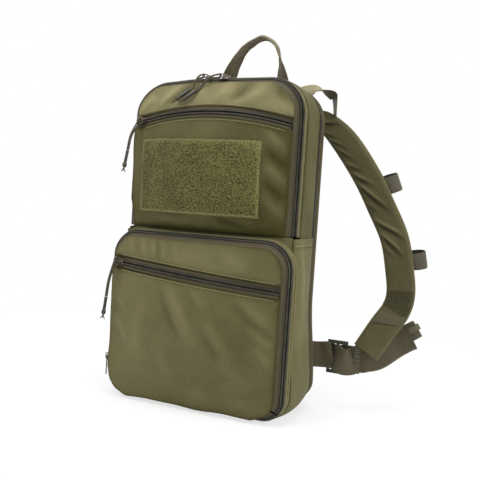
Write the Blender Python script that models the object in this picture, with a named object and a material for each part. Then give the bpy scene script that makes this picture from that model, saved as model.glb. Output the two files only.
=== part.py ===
"""A slim flat pack: a zipped main compartment, a zipped front pocket, a carry handle and two shoulder straps.

Units are metres, +Z is up and the front faces -Y. The origin lies in the middle of the base of the main body.
"""

import math

import bmesh
import bpy
from mathutils import Matrix, Vector

for old_object in list(bpy.data.objects):
    bpy.data.objects.remove(old_object)

# Main body
BODY_WIDTH = 0.263
BODY_HEIGHT = 0.4645
FRONT_SEAM_Y = -0.050
GUSSET_REAR_Y = 0.030
TOP_RADIUS = 0.052
BASE_RADIUS = 0.034
FOLD_HEIGHT = 0.2485
FRONT_BULGE = 0.024
CLOTH = 0.0025
GAP = 0.0003

# Front pocket
POCKET_WIDTH = 0.279
POCKET_HEIGHT = 0.245
POCKET_DEPTH = 0.028
POCKET_TOP_RADIUS = 0.042
POCKET_BULGE = 0.022
POCKET_SLIDER_RISE = 0.020

# Edge zips: the chain sits on the rounded edge between a front panel and its side wall
EDGE_INSET = 0.013
CHAIN_INSET = 0.0042
CHAIN_SETBACK = 0.0095
CHAIN_TILT = math.radians(30.0)
CHAIN_HALF = 0.0046
CHAIN_RISE = 0.0016
CHAIN_SLOT = 0.0012
TAPE_THICK = 0.0011
TAPE_REACH = 0.013

# Rear zip, between the side gusset and the back panel
REAR_CHAIN_HALF = 0.0035
REAR_ZIP_DEPTH = 0.0170
REAR_STOP = 0.0060
REAR_SLIDER_HEIGHT = 0.1185

# Slip pocket zips, across the two front panels
SLIP_CHAIN_HALF = 0.0030
SLIP_RISE = 0.0012
SLIP_TAPE_HALF = 0.0075
SLIP_TAPE_THICK = 0.0009
SLIP_STOP = 0.0040
UPPER_SLIP_HEIGHT = 0.3980
UPPER_SLIP_ARCH = 0.0150
POCKET_SLIP_HEIGHT = 0.1865
POCKET_SLIP_DROP = 0.0097

# Back panel, its frame sheet and the sleeve that holds it
BACK_THICK = 0.008
PAD_THICK = 0.007
PAD_WIDTH = 0.092
PAD_HEIGHT = 0.285
PAD_BASE = 0.0985
PAD_RADIUS = 0.020
PAD_BEVEL = 0.006
PAD_CHANNEL = 0.016
SHEET_THICK = 0.0015
SHEET_MARGIN = 0.010
SHEET_HEADROOM = 0.035
SLEEVE_MARGIN = 0.016
SLEEVE_HEIGHT = 0.330
SLEEVE_DEPTH = 0.013
SLEEVE_BASE = 0.015

# Loop pile panel on the upper front
LOOP_PANEL_WIDTH = 0.188
LOOP_PANEL_ABOVE_FOLD = 0.022
LOOP_PANEL_BELOW_ZIP = 0.0235
LOOP_PANEL_SHIFT = -0.0125
LOOP_PANEL_THICK = 0.0020

# Zip sliders and their pulls
SLIDER_LENGTH = 0.0110
SLIDER_PLATE = 0.0013
SLIDER_OVERHANG = 0.0010
SLIDER_CLEARANCE = 0.0004
SLIDER_WEB = 0.0006
BRIDGE_WIDTH = 0.0018
BRIDGE_THICK = 0.0012
RING_RADIUS = 0.0050
RING_WIRE = 0.0014
RING_LEAN = math.radians(22.0)
CORD_DIAMETER = 0.0024
SLEEVE_DIAMETER = 0.0056
SLEEVE_LENGTH = 0.018
KNOT_DIAMETER = 0.0068
KNOT_LENGTH = 0.0075
TUFT_LENGTH = 0.006
MAIN_SLIDER_SPACING = 0.026
TAB_LENGTH = 0.028
TAB_WIDTH = 0.007

# Carry handle
HANDLE_SPAN = 0.088
HANDLE_RISE = 0.081
HANDLE_SHIFT = 0.018
HANDLE_WIDTH = 0.022
HANDLE_THICK = 0.0026

# Shoulder harness
STRAP_WIDTH = 0.042
STRAP_NECK = 0.030
STRAP_FOOT = 0.040
STRAP_THICK = 0.010
STRAP_EDGE = 0.0035
STRAP_STEP = 0.016
STRAP_STAND = 0.030
STRAP_HEAD_INSET = 0.036
STRAP_HEAD_LENGTH = 0.014
STRAP_HEAD_RISE = 0.859
STRAP_END = 0.72
STRAP_END_RISE = 0.0215
STRAP_FLARE_RIGHT = 0.1245
STRAP_FLARE_LEFT = 0.0600
YOKE_WIDTH = 0.028
YOKE_STEP = 0.008
WEB_WIDTH = 0.038
WEB_THICK = 0.0016
WEB_HEIGHT = 0.0730
WEB_CLEARANCE = 0.0007
WEB_ROOT = 0.055
WEB_ROOT_STEP = 0.035
WEB_STEP = 0.0032
TAIL_STAND = 0.0295
LOOP_WIDTH = 0.026
LOOP_THICK = 0.0013
LOOP_REACH = (0.0135, 0.0055)
LOOP_OVERHANG = 0.002
LOCK_LENGTH = 0.030
LOCK_BAR = 0.0042
LOCK_THICK = 0.0030
LOCK_RIM = 0.005
LOCK_STAND = 0.0086
LOCK_SETBACK = 0.0485
KEEPER_WIDTH = 0.009
KEEPER_SETBACK = 0.0195
ROLL_REACH = (0.017, 0.006)
ROLL_WIDTH = 0.026

CORNER_STEPS = 6
POCKET_SEAM_Y = FRONT_SEAM_Y - POCKET_DEPTH
MAIN_ZIP_REAR_Y = FRONT_SEAM_Y + CHAIN_SETBACK + TAPE_REACH
POCKET_ZIP_REAR_Y = POCKET_SEAM_Y + CHAIN_SETBACK + TAPE_REACH
BACK_FRONT_Y = GUSSET_REAR_Y + REAR_ZIP_DEPTH + 2.0 * GAP
BACK_REAR_Y = BACK_FRONT_Y + BACK_THICK


def material(name, colour, roughness, metallic=0.0):
    made = bpy.data.materials.new(name)
    made.use_nodes = True
    shader = made.node_tree.nodes["Principled BSDF"]
    shader.inputs["Base Color"].default_value = (*colour, 1.0)
    shader.inputs["Roughness"].default_value = roughness
    shader.inputs["Metallic"].default_value = metallic
    return made


CLOTH_OLIVE = material("woven_nylon", (0.105, 0.098, 0.042), 0.85)
LINING = material("lining", (0.075, 0.072, 0.040), 0.80)
LOOP_PILE = material("loop_pile", (0.110, 0.110, 0.038), 0.95)
TAPE_TAUPE = material("zip_tape", (0.095, 0.080, 0.050), 0.80)
WEBBING = material("webbing", (0.100, 0.088, 0.045), 0.75)
PADDING = material("strap_padding", (0.070, 0.065, 0.032), 0.85)
BRONZE = material("slider_metal", (0.055, 0.048, 0.038), 0.35, 0.9)
CORD_OLIVE = material("pull_cord", (0.060, 0.055, 0.035), 0.75)
SHRINK_TUBE = material("shrink_tube", (0.012, 0.012, 0.012), 0.30)
ACETAL = material("acetal", (0.060, 0.062, 0.050), 0.45)
BOARD = material("frame_board", (0.020, 0.020, 0.020), 0.50)


def pivot(name, place, parent=None):
    """An empty on a joint's axis, which carries the pieces of one moving body."""
    made = bpy.data.objects.new(name, None)
    made.empty_display_size = 0.01
    bpy.context.scene.collection.objects.link(made)
    made.parent = parent
    made.location = Vector(place) - (parent.matrix_world.translation if parent else Vector())
    bpy.context.view_layer.update()
    return made


def add_mesh(name, builder, finish, carrier=None):
    """Turns a bmesh drawn in world places into an object whose origin is its carrier's pivot."""
    bmesh.ops.recalc_face_normals(builder, faces=builder.faces)
    mesh = bpy.data.meshes.new(name)
    origin = carrier.matrix_world.translation if carrier else Vector()
    bmesh.ops.translate(builder, verts=builder.verts, vec=-origin)
    builder.to_mesh(mesh)
    builder.free()
    made = bpy.data.objects.new(name, mesh)
    bpy.context.scene.collection.objects.link(made)
    made.parent = carrier
    mesh.materials.append(finish)
    mesh.shade_smooth()
    mesh.set_sharp_from_angle(angle=math.radians(35.0))
    return made


def loft(name, rows, finish, carrier=None, ring=False):
    """Bridges closed rows of points into one body. A ring joins its last row to its first, others are capped."""
    builder = bmesh.new()
    loops = [[builder.verts.new(point) for point in row] for row in rows]
    pairs = list(zip(loops, loops[1:] + loops[:1])) if ring else list(zip(loops, loops[1:]))
    for lower, upper in pairs:
        for index in range(len(lower)):
            following = (index + 1) % len(lower)
            builder.faces.new((lower[index], lower[following], upper[following], upper[index]))
    if not ring:
        builder.faces.new(loops[0])
        builder.faces.new(loops[-1])
    return add_mesh(name, builder, finish, carrier)


def cutter(made):
    made.hide_render = True
    made.display_type = "WIRE"
    return made


def combine(target, tool, operation):
    change = target.modifiers.new(operation.lower(), "BOOLEAN")
    change.operation = operation
    change.object = cutter(tool)


def arc(centre_x, centre_z, radius, start_degrees, end_degrees):
    """Points of an arc in the XZ plane, each with its outward direction: (x, z, outward x, outward z)."""
    points = []
    for step in range(CORNER_STEPS + 1):
        angle = math.radians(start_degrees + (end_degrees - start_degrees) * step / CORNER_STEPS)
        out_x = math.cos(angle)
        out_z = math.sin(angle)
        points.append((centre_x + radius * out_x, centre_z + radius * out_z, out_x, out_z))
    return points


def top_arcs(half_width, top, radius):
    right = arc(half_width - radius, top - radius, radius, 0.0, 90.0)
    left = arc(radius - half_width, top - radius, radius, 90.0, 180.0)
    return right + left


def outline(half_width, base, top, top_radius, base_radius):
    """A closed rounded rectangle, anticlockwise from its lower right corner."""
    lower_right = arc(half_width - base_radius, base + base_radius, base_radius, -90.0, 0.0)
    lower_left = arc(base_radius - half_width, base + base_radius, base_radius, 180.0, 270.0)
    return lower_right + top_arcs(half_width, top, top_radius) + lower_left


def arch(half_width, base, top, radius):
    """The open upper part of an outline, from its right foot over the top to its left foot."""
    return [(half_width, base, 1.0, 0.0)] + top_arcs(half_width, top, radius) + [(-half_width, base, -1.0, 0.0)]


def band(name, path, profile, finish, carrier=None, ring=True):
    """Carries a profile of (outward, y) points along an outline."""
    rows = []
    for x, z, out_x, out_z in path:
        rows.append([(x + out * out_x, y, z + out * out_z) for out, y in profile])
    return loft(name, rows, finish, carrier, ring)


def wall(front_y, rear_y, thickness=CLOTH):
    return [(0.0, front_y), (0.0, rear_y), (-thickness, rear_y), (-thickness, front_y)]


def slab(name, path, front_y, rear_y, finish, carrier=None):
    """A plate whose outline lies in the XZ plane."""
    rows = [[(point[0], y, point[1]) for point in path] for y in (front_y, rear_y)]
    return loft(name, rows, finish, carrier)


def chain_half(centre, tilt, half, rise, side, tape_outer, tape_inner):
    """Profile of one half of a zip: a coil beside the slot, and the tape from it to the seam."""

    def place(across, lift):
        out = centre[0] + across * side * math.sin(tilt) + lift * math.cos(tilt)
        return out, centre[1] + across * side * math.cos(tilt) - lift * math.sin(tilt)

    slot = CHAIN_SLOT / 2.0
    coil = [place(slot, rise), place(slot, -rise), place(half, -rise), place(half, -TAPE_THICK)]
    return coil + [tape_inner, tape_outer, place(half, 0.0), place(half, rise)]


def edge_zip_profile(seam_y, side):
    """Half of an edge zip: side -1 runs to the front panel's edge, side 1 to the side wall."""
    centre = (-CHAIN_INSET, seam_y + CHAIN_SETBACK)
    if side < 0:
        tape_outer = (GAP - EDGE_INSET, seam_y)
        tape_inner = (GAP - EDGE_INSET, seam_y + TAPE_THICK)
    else:
        tape_outer = (-GAP, seam_y + CHAIN_SETBACK + TAPE_REACH)
        tape_inner = (-GAP - TAPE_THICK, seam_y + CHAIN_SETBACK + TAPE_REACH)
    return chain_half(centre, CHAIN_TILT, CHAIN_HALF, CHAIN_RISE, side, tape_outer, tape_inner)


def half_width_at(z, half_width, base, top, top_radius, base_radius):
    """Half the width of a rounded rectangle at height z."""
    over = max(z - (top - top_radius), 0.0)
    under = max(base + base_radius - z, 0.0)
    radius = top_radius if over > 0.0 else base_radius
    reach = min(max(over, under), radius)
    return half_width - radius + math.sqrt(radius * radius - reach * reach)


class FrontPanel:
    """A bulged front panel, its outline set in from a zipped edge."""

    def __init__(self, width, base, top, top_radius, base_radius, seam_y, bulge, fullness):
        self.half = width / 2.0 - EDGE_INSET
        self.base = base
        self.top = top - EDGE_INSET
        self.radii = (top_radius - EDGE_INSET, base_radius - EDGE_INSET)
        self.seam_y = seam_y
        self.bulge = bulge
        self.fullness = fullness

    def half_at(self, z):
        return half_width_at(z, self.half, self.base, self.top, *self.radii)

    def front_y(self, x, z):
        """The outer face: a swell of (1 - u^2)(foot + (1 - foot) sin) over the panel's width and height."""
        across = 1.0 - (x / self.half) ** 2
        rise = min(max((z - self.base) / (self.top - self.base), 0.0), 1.0)
        upward = math.sin(math.pi * (self.fullness + (1.0 - self.fullness) * rise))
        return self.seam_y - self.bulge * max(across, 0.0) * upward

    def point(self, x, z, lift=0.0):
        return Vector((x, self.front_y(x, z) - lift, z))

    def facing(self, x, z):
        step = 0.002
        along = self.point(x + step, z) - self.point(x - step, z)
        upward = self.point(x, z + step) - self.point(x, z - step)
        return along.cross(upward).normalized()

    def piece(self, name, low, high, steps, ease, thickness, finish, carrier, lift=0.0, half=None, shift=0.0):
        """A curved sheet of this panel between two height curves, thickened inward. The ease spaces its rows."""
        across, upward = steps
        builder = bmesh.new()
        rows = []
        for row in range(upward + 1):
            share = ease(row / upward)
            line = []
            for column in range(across + 1):
                u = 2.0 * column / across - 1.0
                x = u * self.half
                z = low(x) + (high(x) - low(x)) * share
                x = u * (half if half else self.half_at(z)) + shift
                line.append(builder.verts.new(self.point(x, z, lift)))
            rows.append(line)
        for lower, upper in zip(rows, rows[1:]):
            for column in range(across):
                builder.faces.new((lower[column], lower[column + 1], upper[column + 1], upper[column]))
        made = add_mesh(name, builder, finish, carrier)
        if sum(face.normal.y for face in made.data.polygons) > 0.0:
            made.data.flip_normals()
        skin = made.modifiers.new("thickness", "SOLIDIFY")
        skin.thickness = thickness
        skin.offset = -1.0
        return made


class SlipTrack:
    """The arc that a slip pocket's zip follows: through its left end, its middle and its right end."""

    def __init__(self, left, middle, right, outward):
        chord = right - left
        foot = (left + right) / 2.0
        rise = middle - foot
        self.radius = (chord.length_squared / 4.0 + rise.length_squared) / (2.0 * rise.length)
        self.spoke = rise.normalized()
        self.centre = middle - self.spoke * self.radius
        self.axis = self.spoke.cross(chord).normalized()
        self.reach = math.asin(chord.length / 2.0 / self.radius)
        self.middle = middle
        self.along = chord.normalized()
        self.outward = (outward - self.along * outward.dot(self.along)).normalized()
        self.across = self.outward.cross(self.along)

    def turn(self, angle):
        """Positive angles lie towards the right end."""
        return Matrix.Rotation(angle, 3, self.axis)

    def height(self, x):
        """Height of the zip's middle line above a given x."""
        reach = (x - self.middle.x) / self.along.x
        return self.place(math.asin(reach / self.radius), 0.0, 0.0).z

    def place(self, angle, across, lift):
        spot = self.spoke * self.radius + self.across * across + self.outward * lift
        return self.centre + self.turn(angle) @ spot

    def band(self, name, profile, start, end, steps, finish, carrier):
        rows = []
        for step in range(steps + 1):
            angle = start + (end - start) * step / steps
            rows.append([self.place(angle, across, lift) for across, lift in profile])
        return loft(name, rows, finish, carrier)


def slip_zip(name, track, carrier):
    """Both tapes and coils of a slip zip, joined at the end stops and slit along the middle."""
    coil = SLIP_CHAIN_HALF
    tape = SLIP_TAPE_HALF
    under = -SLIP_TAPE_THICK
    upper = [(-tape, 0.0), (-coil, 0.0), (-coil, SLIP_RISE), (coil, SLIP_RISE), (coil, 0.0), (tape, 0.0)]
    lower = [(tape, under), (coil, under), (coil, -SLIP_RISE), (-coil, -SLIP_RISE), (-coil, under), (-tape, under)]
    made = track.band(name, upper + lower, -track.reach, track.reach, 16, TAPE_TAUPE, carrier)
    stop = SLIP_STOP / track.radius
    slot = CHAIN_SLOT / 2.0
    deep = 3.0 * SLIP_RISE
    slit = [(-slot, deep), (slot, deep), (slot, -deep), (-slot, -deep)]
    knife = track.band(name + "_slit", slit, stop - track.reach, track.reach - stop, 16, TAPE_TAUPE, carrier)
    combine(made, knife, "DIFFERENCE")
    return made


class Seat:
    """Where a slider sits on its chain: a place, the way it travels, its outward face and its width."""

    def __init__(self, place, along, outward):
        self.place = Vector(place)
        self.along = Vector(along).normalized()
        self.outward = Vector(outward).normalized()
        self.across = self.outward.cross(self.along)

    def at(self, along, across, lift):
        return self.place + self.along * along + self.across * across + self.outward * lift


def slider(name, seat, half, rise, carrier):
    """Two plates on a web, with a bridge over the upper plate. The nose is wider than the tail."""
    low = rise + SLIDER_CLEARANCE
    high = low + SLIDER_PLATE
    web = SLIDER_WEB / 2.0
    rows = []
    for along, widen in ((-0.5, 0.86), (0.1, 1.0), (0.5, 1.0)):
        edge = (half + SLIDER_OVERHANG) * widen
        right = [(edge, high), (edge, low), (web, low), (web, -low), (edge, -low), (edge, -high)]
        left = [(-across, lift) for across, lift in reversed(right)]
        rows.append([seat.at(along * SLIDER_LENGTH, across, lift) for across, lift in right + left])
    made = loft(name, rows, BRONZE, carrier)
    reach = SLIDER_LENGTH * 0.42
    leg = SLIDER_LENGTH * 0.13
    room = RING_WIRE + 2.0 * SLIDER_CLEARANCE
    under = high + room
    over = under + BRIDGE_THICK
    root = high - SLIDER_PLATE / 2.0
    shape = [(-reach, root), (-reach, under), (-reach + leg, over), (reach - leg, over), (reach, under), (reach, root)]
    hole = [(reach - leg, root), (reach - leg, under), (-reach + leg, under), (-reach + leg, root)]
    sides = []
    for across in (-BRIDGE_WIDTH / 2.0, BRIDGE_WIDTH / 2.0):
        sides.append([seat.at(along, across, lift) for along, lift in shape + hole])
    bridge = loft(name + "_bridge", sides, BRONZE, carrier)
    combine(made, bridge, "UNION")
    return made


def bridge_lift(rise):
    """Height of a pull's wire under the slider's bridge."""
    return rise + SLIDER_CLEARANCE + SLIDER_PLATE + SLIDER_CLEARANCE + RING_WIRE / 2.0


def leaned(seat, way):
    """The ways along and out of a pull's ring, which leans off the chain."""
    along = seat.along * way * math.cos(RING_LEAN) + seat.outward * math.sin(RING_LEAN)
    outward = seat.outward * math.cos(RING_LEAN) - seat.along * way * math.sin(RING_LEAN)
    return along, outward


def pull_ring(name, seat, rise, way, carrier):
    """A wire ring held under the bridge and lying towards the given way along the chain."""
    along, outward = leaned(seat, way)
    centre = seat.at(0.0, 0.0, bridge_lift(rise)) + along * RING_RADIUS
    rows = []
    for step in range(14):
        angle = 2.0 * math.pi * step / 14
        spoke = along * math.cos(angle) + seat.across * math.sin(angle)
        row = []
        for corner in range(6):
            turn = 2.0 * math.pi * corner / 6
            out = spoke * math.cos(turn) + outward * math.sin(turn)
            row.append(centre + spoke * RING_RADIUS + out * RING_WIRE / 2.0)
        rows.append(row)
    return loft(name, rows, BRONZE, carrier, ring=True)


def smooth(points, spacing):
    """Points at an even spacing along a smooth curve through the given ones."""
    points = [Vector(point) for point in points]
    ends = [points[0] * 2.0 - points[1]] + points + [points[-1] * 2.0 - points[-2]]
    dense = []
    for index in range(len(points) - 1):
        before, start, stop, after = ends[index:index + 4]
        for step in range(24):
            t = step / 24.0
            bend = (2.0 * before - 5.0 * start + 4.0 * stop - after) * t * t
            twist = (3.0 * (start - stop) + after - before) * t * t * t
            dense.append(0.5 * (2.0 * start + (stop - before) * t + bend + twist))
    dense.append(points[-1])
    total = sum((b - a).length for a, b in zip(dense, dense[1:]))
    count = max(2, round(total / spacing))
    wanted = [total * step / count for step in range(count + 1)]
    picked = []
    walked = 0.0
    for a, b in zip(dense, dense[1:]):
        length = (b - a).length
        while len(picked) < count and wanted[len(picked)] <= walked + length:
            picked.append(a.lerp(b, (wanted[len(picked)] - walked) / length))
        walked += length
    return picked + [dense[-1]]


def cord(name, points, carrier):
    """A plain round cord through the given points."""
    curve = bpy.data.curves.new(name, "CURVE")
    curve.dimensions = "3D"
    curve.bevel_depth = CORD_DIAMETER / 2.0
    curve.bevel_resolution = 2
    curve.use_fill_caps = True
    origin = carrier.matrix_world.translation
    spline = curve.splines.new("POLY")
    spline.points.add(len(points) - 1)
    for target, point in zip(spline.points, points):
        target.co = (*(point - origin), 1.0)
    made = bpy.data.objects.new(name, curve)
    bpy.context.scene.collection.objects.link(made)
    made.parent = carrier
    curve.materials.append(CORD_OLIVE)
    return made


def grip(name, top, way, carrier):
    """A shrink-tube sleeve on the cord's end, with the knot and its tuft below it, turned about one line."""
    sleeve = SLEEVE_DIAMETER / 2.0
    knot = KNOT_DIAMETER / 2.0
    neck = CORD_DIAMETER * 0.75
    end = SLEEVE_LENGTH + KNOT_LENGTH
    turned = [(0.0, sleeve * 0.8), (0.001, sleeve), (SLEEVE_LENGTH - 0.001, sleeve), (SLEEVE_LENGTH, neck)]
    turned += [(SLEEVE_LENGTH + KNOT_LENGTH * 0.25, knot * 0.9), (SLEEVE_LENGTH + KNOT_LENGTH * 0.6, knot)]
    turned += [(end, neck), (end + TUFT_LENGTH, neck * 1.3)]
    way = Vector(way).normalized()
    side = way.orthogonal().normalized()
    other = way.cross(side)
    rows = []
    for along, radius in turned:
        row = []
        for corner in range(8):
            angle = 2.0 * math.pi * corner / 8
            row.append(Vector(top) + way * along + (side * math.cos(angle) + other * math.sin(angle)) * radius)
        rows.append(row)
    return loft(name, rows, SHRINK_TUBE, carrier)


def pull_eye(seat, rise, way):
    """The place on a pull's ring that its cord hangs from, and the way out from the ring's middle to it."""
    along, _ = leaned(seat, way)
    spoke = along * 0.6 - seat.across * 0.8
    return seat.at(0.0, 0.0, bridge_lift(rise)) + along * RING_RADIUS + spoke * RING_RADIUS, spoke


def hung_pull(name, seat, rise, way, route, carrier):
    """Ring, doubled cord and grip of one pull. The route is the middle line of the two strands below the ring."""
    pull_ring(name + "_ring", seat, rise, way, carrier)
    eye, spoke = pull_eye(seat, rise, way)
    _, outward = leaned(seat, way)
    bend = RING_WIRE / 2.0 + CORD_DIAMETER / 2.0 + 2.0 * GAP
    spread = CORD_DIAMETER * 0.58
    down = (route[-1] - route[-2]).normalized()
    apart = down.cross(seat.outward).normalized()
    strands = []
    for sign in (1.0, -1.0):
        strand = [eye + outward * bend * sign]
        for index, point in enumerate(route):
            share = (index + 1) / len(route)
            strand.append(point + (outward * bend * (1.0 - share) + apart * spread * share) * sign)
        strands.append(smooth(strand, CORD_DIAMETER * 2.2))
    over = []
    for step in range(1, 6):
        angle = math.pi * step / 6
        over.append(eye + (outward * math.cos(angle) - spoke * math.sin(angle)) * bend)
    cord(name + "_cord", strands[0][::-1] + over + strands[1], carrier)
    grip(name + "_grip", route[-1] + down * GAP * 2.0, down, carrier)


def pull_tab(name, seat, rise, carrier):
    """A flat metal tab with a window, its cross bar held under the slider's bridge. It lies down the chain."""
    bar = RING_WIRE / 2.0
    half = TAB_WIDTH / 2.0
    window = BRIDGE_WIDTH / 2.0 + 3.0 * SLIDER_CLEARANCE
    foot = SLIDER_LENGTH * 0.62
    frame = [(bar, -half), (bar, half), (-TAB_LENGTH * 0.8, half), (-TAB_LENGTH, half * 0.6)]
    frame += [(-TAB_LENGTH, -half * 0.6), (-TAB_LENGTH * 0.8, -half)]
    opening = [(-bar, -window), (-bar, window), (-foot, window), (-foot, -window)]

    def plate(label, shape, thick):
        lifts = (bridge_lift(rise) - thick / 2.0, bridge_lift(rise) + thick / 2.0)
        rows = [[seat.at(along, across, lift) for along, across in shape] for lift in lifts]
        return loft(label, rows, BRONZE, carrier)

    combine(plate(name, frame, RING_WIRE), plate(name + "_window", opening, 3.0 * RING_WIRE), "DIFFERENCE")


def eased(values, path, places):
    """Values given at the path's points, eased along the even places of its smooth curve."""
    walked = [0.0]
    for start, stop in zip(path, path[1:]):
        walked.append(walked[-1] + (Vector(stop) - Vector(start)).length)
    found = []
    for index in range(len(places)):
        goal = walked[-1] * index / (len(places) - 1)
        leg = max(step for step in range(len(path) - 1) if walked[step] <= goal + 1e-9)
        share = (goal - walked[leg]) / (walked[leg + 1] - walked[leg])
        found.append(values[leg] * (1.0 - share) + values[leg + 1] * share)
    return found


def strip(name, path, faces, widths, thickness, finish, carrier=None, spacing=0.012, soft=0.0):
    """A flat band along a smooth path. Each path point gives the way its face looks and its width there.

    A soft edge rounds the band's section, as on a padded strap.
    """
    places = smooth(path, spacing)
    looks = eased([Vector(face) for face in faces], path, places)
    spans = eased(widths, path, places)
    thick = thickness / 2.0
    rows = []
    for index, place in enumerate(places):
        ahead = (places[min(index + 1, len(places) - 1)] - places[max(index - 1, 0)]).normalized()
        across = looks[index].cross(ahead).normalized()
        face = ahead.cross(across)
        half = spans[index] / 2.0
        shape = [(half, thick), (half, -thick)]
        if soft > 0.0:
            shape = [(half - soft, thick), (half, thick * 0.35), (half, -thick * 0.35), (half - soft, -thick)]
        shape += [(-a, b) for a, b in reversed(shape)]
        rows.append([place + across * a + face * b for a, b in shape])
    return loft(name, rows, finish, carrier)


def hoop(name, centre, long_way, short_way, reach, thickness, width, finish, carrier=None, steps=16):
    """An oval loop of webbing: its long and short half sizes are in reach, its width runs across both ways."""
    long_way = Vector(long_way).normalized()
    side = long_way.cross(Vector(short_way)).normalized()
    short_way = side.cross(long_way)
    rows = []
    for step in range(steps):
        angle = 2.0 * math.pi * step / steps
        place = Vector(centre) + long_way * reach[0] * math.cos(angle) + short_way * reach[1] * math.sin(angle)
        out = (long_way * math.cos(angle) / reach[0] + short_way * math.sin(angle) / reach[1]).normalized()
        row = []
        for a, b in ((0.5, 0.5), (0.5, -0.5), (-0.5, -0.5), (-0.5, 0.5)):
            row.append(place + out * thickness * a + side * width * b)
        rows.append(row)
    return loft(name, rows, finish, carrier, ring=True)


def even(share):
    return share


def dense_above(share):
    return 1.0 - (1.0 - share) ** 1.7


def dense_below(share):
    return share ** 1.7


# Main shell: the side gusset goes right round, and the lower shell closes the body in front and behind the pocket
body_half = BODY_WIDTH / 2.0
body_outline = outline(body_half, 0.0, BODY_HEIGHT, TOP_RADIUS, BASE_RADIUS)
band("main_gusset", body_outline, wall(MAIN_ZIP_REAR_Y + GAP, GUSSET_REAR_Y), CLOTH_OLIVE)


def lower_outline(inset, top):
    """The outline's part below the fold, set in by a wall, with a straight upper edge."""
    half = body_half - inset
    radius = BASE_RADIUS - inset
    right = arc(half - radius, inset + radius, radius, -90.0, 0.0)
    left = arc(radius - half, inset + radius, radius, 180.0, 270.0)
    return right + [(half, top, 1.0, 0.0), (-half, top, -1.0, 0.0)] + left


lower_shell = slab("lower_shell", lower_outline(0.0, FOLD_HEIGHT - GAP), FRONT_SEAM_Y, MAIN_ZIP_REAR_Y, CLOTH_OLIVE)
hollow = slab("lower_hollow", lower_outline(CLOTH, BODY_HEIGHT), FRONT_SEAM_Y + CLOTH, GUSSET_REAR_Y, LINING)
combine(lower_shell, hollow, "DIFFERENCE")

main_arch = arch(body_half, FOLD_HEIGHT + GAP, BODY_HEIGHT, TOP_RADIUS)
band("main_zip_rear_half", main_arch, edge_zip_profile(FRONT_SEAM_Y, 1), TAPE_TAUPE, ring=False)

# Rear zip: both halves run right round and meet in a stop at the middle of the base
rear_chain = (-CHAIN_RISE - GAP, GUSSET_REAR_Y + GAP + REAR_ZIP_DEPTH / 2.0)


def rear_half(side):
    reach = REAR_ZIP_DEPTH / 2.0
    end_y = rear_chain[1] + side * reach
    tape = ((rear_chain[0], end_y), (rear_chain[0] - TAPE_THICK, end_y))
    return chain_half(rear_chain, 0.0, REAR_CHAIN_HALF, CHAIN_RISE, side, *tape)


rear_zip = band("rear_zip", body_outline, rear_half(-1), TAPE_TAUPE)
combine(rear_zip, band("rear_zip_other_half", body_outline, rear_half(1), TAPE_TAUPE), "UNION")
stop_low = -rear_chain[0] - CHAIN_RISE * 0.8
stop_high = -rear_chain[0] + CHAIN_RISE * 0.8
stop_corners = [(-REAR_STOP, stop_low), (REAR_STOP, stop_low), (REAR_STOP, stop_high), (-REAR_STOP, stop_high)]
stop_depth = REAR_CHAIN_HALF * 0.6
zip_stop = slab("rear_zip_stop", stop_corners, rear_chain[1] - stop_depth, rear_chain[1] + stop_depth, TAPE_TAUPE)
combine(rear_zip, zip_stop, "UNION")

# Back panel with its two pads, the frame sheet in front of it and the sleeve that holds the sheet
slab("back_panel", body_outline, BACK_FRONT_Y, BACK_REAR_Y, CLOTH_OLIVE)
pad_half = PAD_WIDTH / 2.0
pad_top = PAD_BASE + PAD_HEIGHT
far_radius = PAD_RADIUS - PAD_BEVEL
for side, label in ((-1.0, "left"), (1.0, "right")):
    pad_middle = side * (pad_half + PAD_CHANNEL / 2.0)
    pad = outline(pad_half, PAD_BASE, pad_top, PAD_RADIUS, PAD_RADIUS)
    near = [(x + pad_middle, z) for x, z, _, _ in pad]
    inset = outline(pad_half - PAD_BEVEL, PAD_BASE + PAD_BEVEL, pad_top - PAD_BEVEL, far_radius, far_radius)
    far = [(x + pad_middle, z) for x, z, _, _ in inset]
    pad_rows = []
    for shape, depth in ((near, GAP), (near, 0.6 * PAD_THICK), (far, PAD_THICK)):
        pad_rows.append([(x, BACK_REAR_Y + depth, z) for x, z in shape])
    loft(f"back_pad_{label}", pad_rows, PADDING)
sleeve_half = body_half - SLEEVE_MARGIN
sheet_half = sleeve_half - SHEET_MARGIN
sheet_base = SLEEVE_BASE + 2.0 * CLOTH
sheet_corners = outline(sheet_half, sheet_base, BODY_HEIGHT - SHEET_HEADROOM, 2.0 * SHEET_MARGIN, SHEET_MARGIN)
slab("frame_sheet", sheet_corners, BACK_FRONT_Y - GAP - SHEET_THICK, BACK_FRONT_Y - GAP, BOARD)
sleeve_front_y = BACK_FRONT_Y - GAP - SLEEVE_DEPTH
sleeve_top = SLEEVE_BASE + SLEEVE_HEIGHT


def sleeve_box(inset, top):
    low = SLEEVE_BASE + inset
    half = sleeve_half - inset
    return [(-half, low), (half, low), (half, top), (-half, top)]


sleeve = slab("inner_sleeve", sleeve_box(0.0, sleeve_top), sleeve_front_y, BACK_FRONT_Y - GAP, LINING)
sleeve_room = slab("inner_sleeve_room", sleeve_box(CLOTH, BODY_HEIGHT), sleeve_front_y + CLOTH, BACK_REAR_Y, LINING)
combine(sleeve, sleeve_room, "DIFFERENCE")

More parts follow.
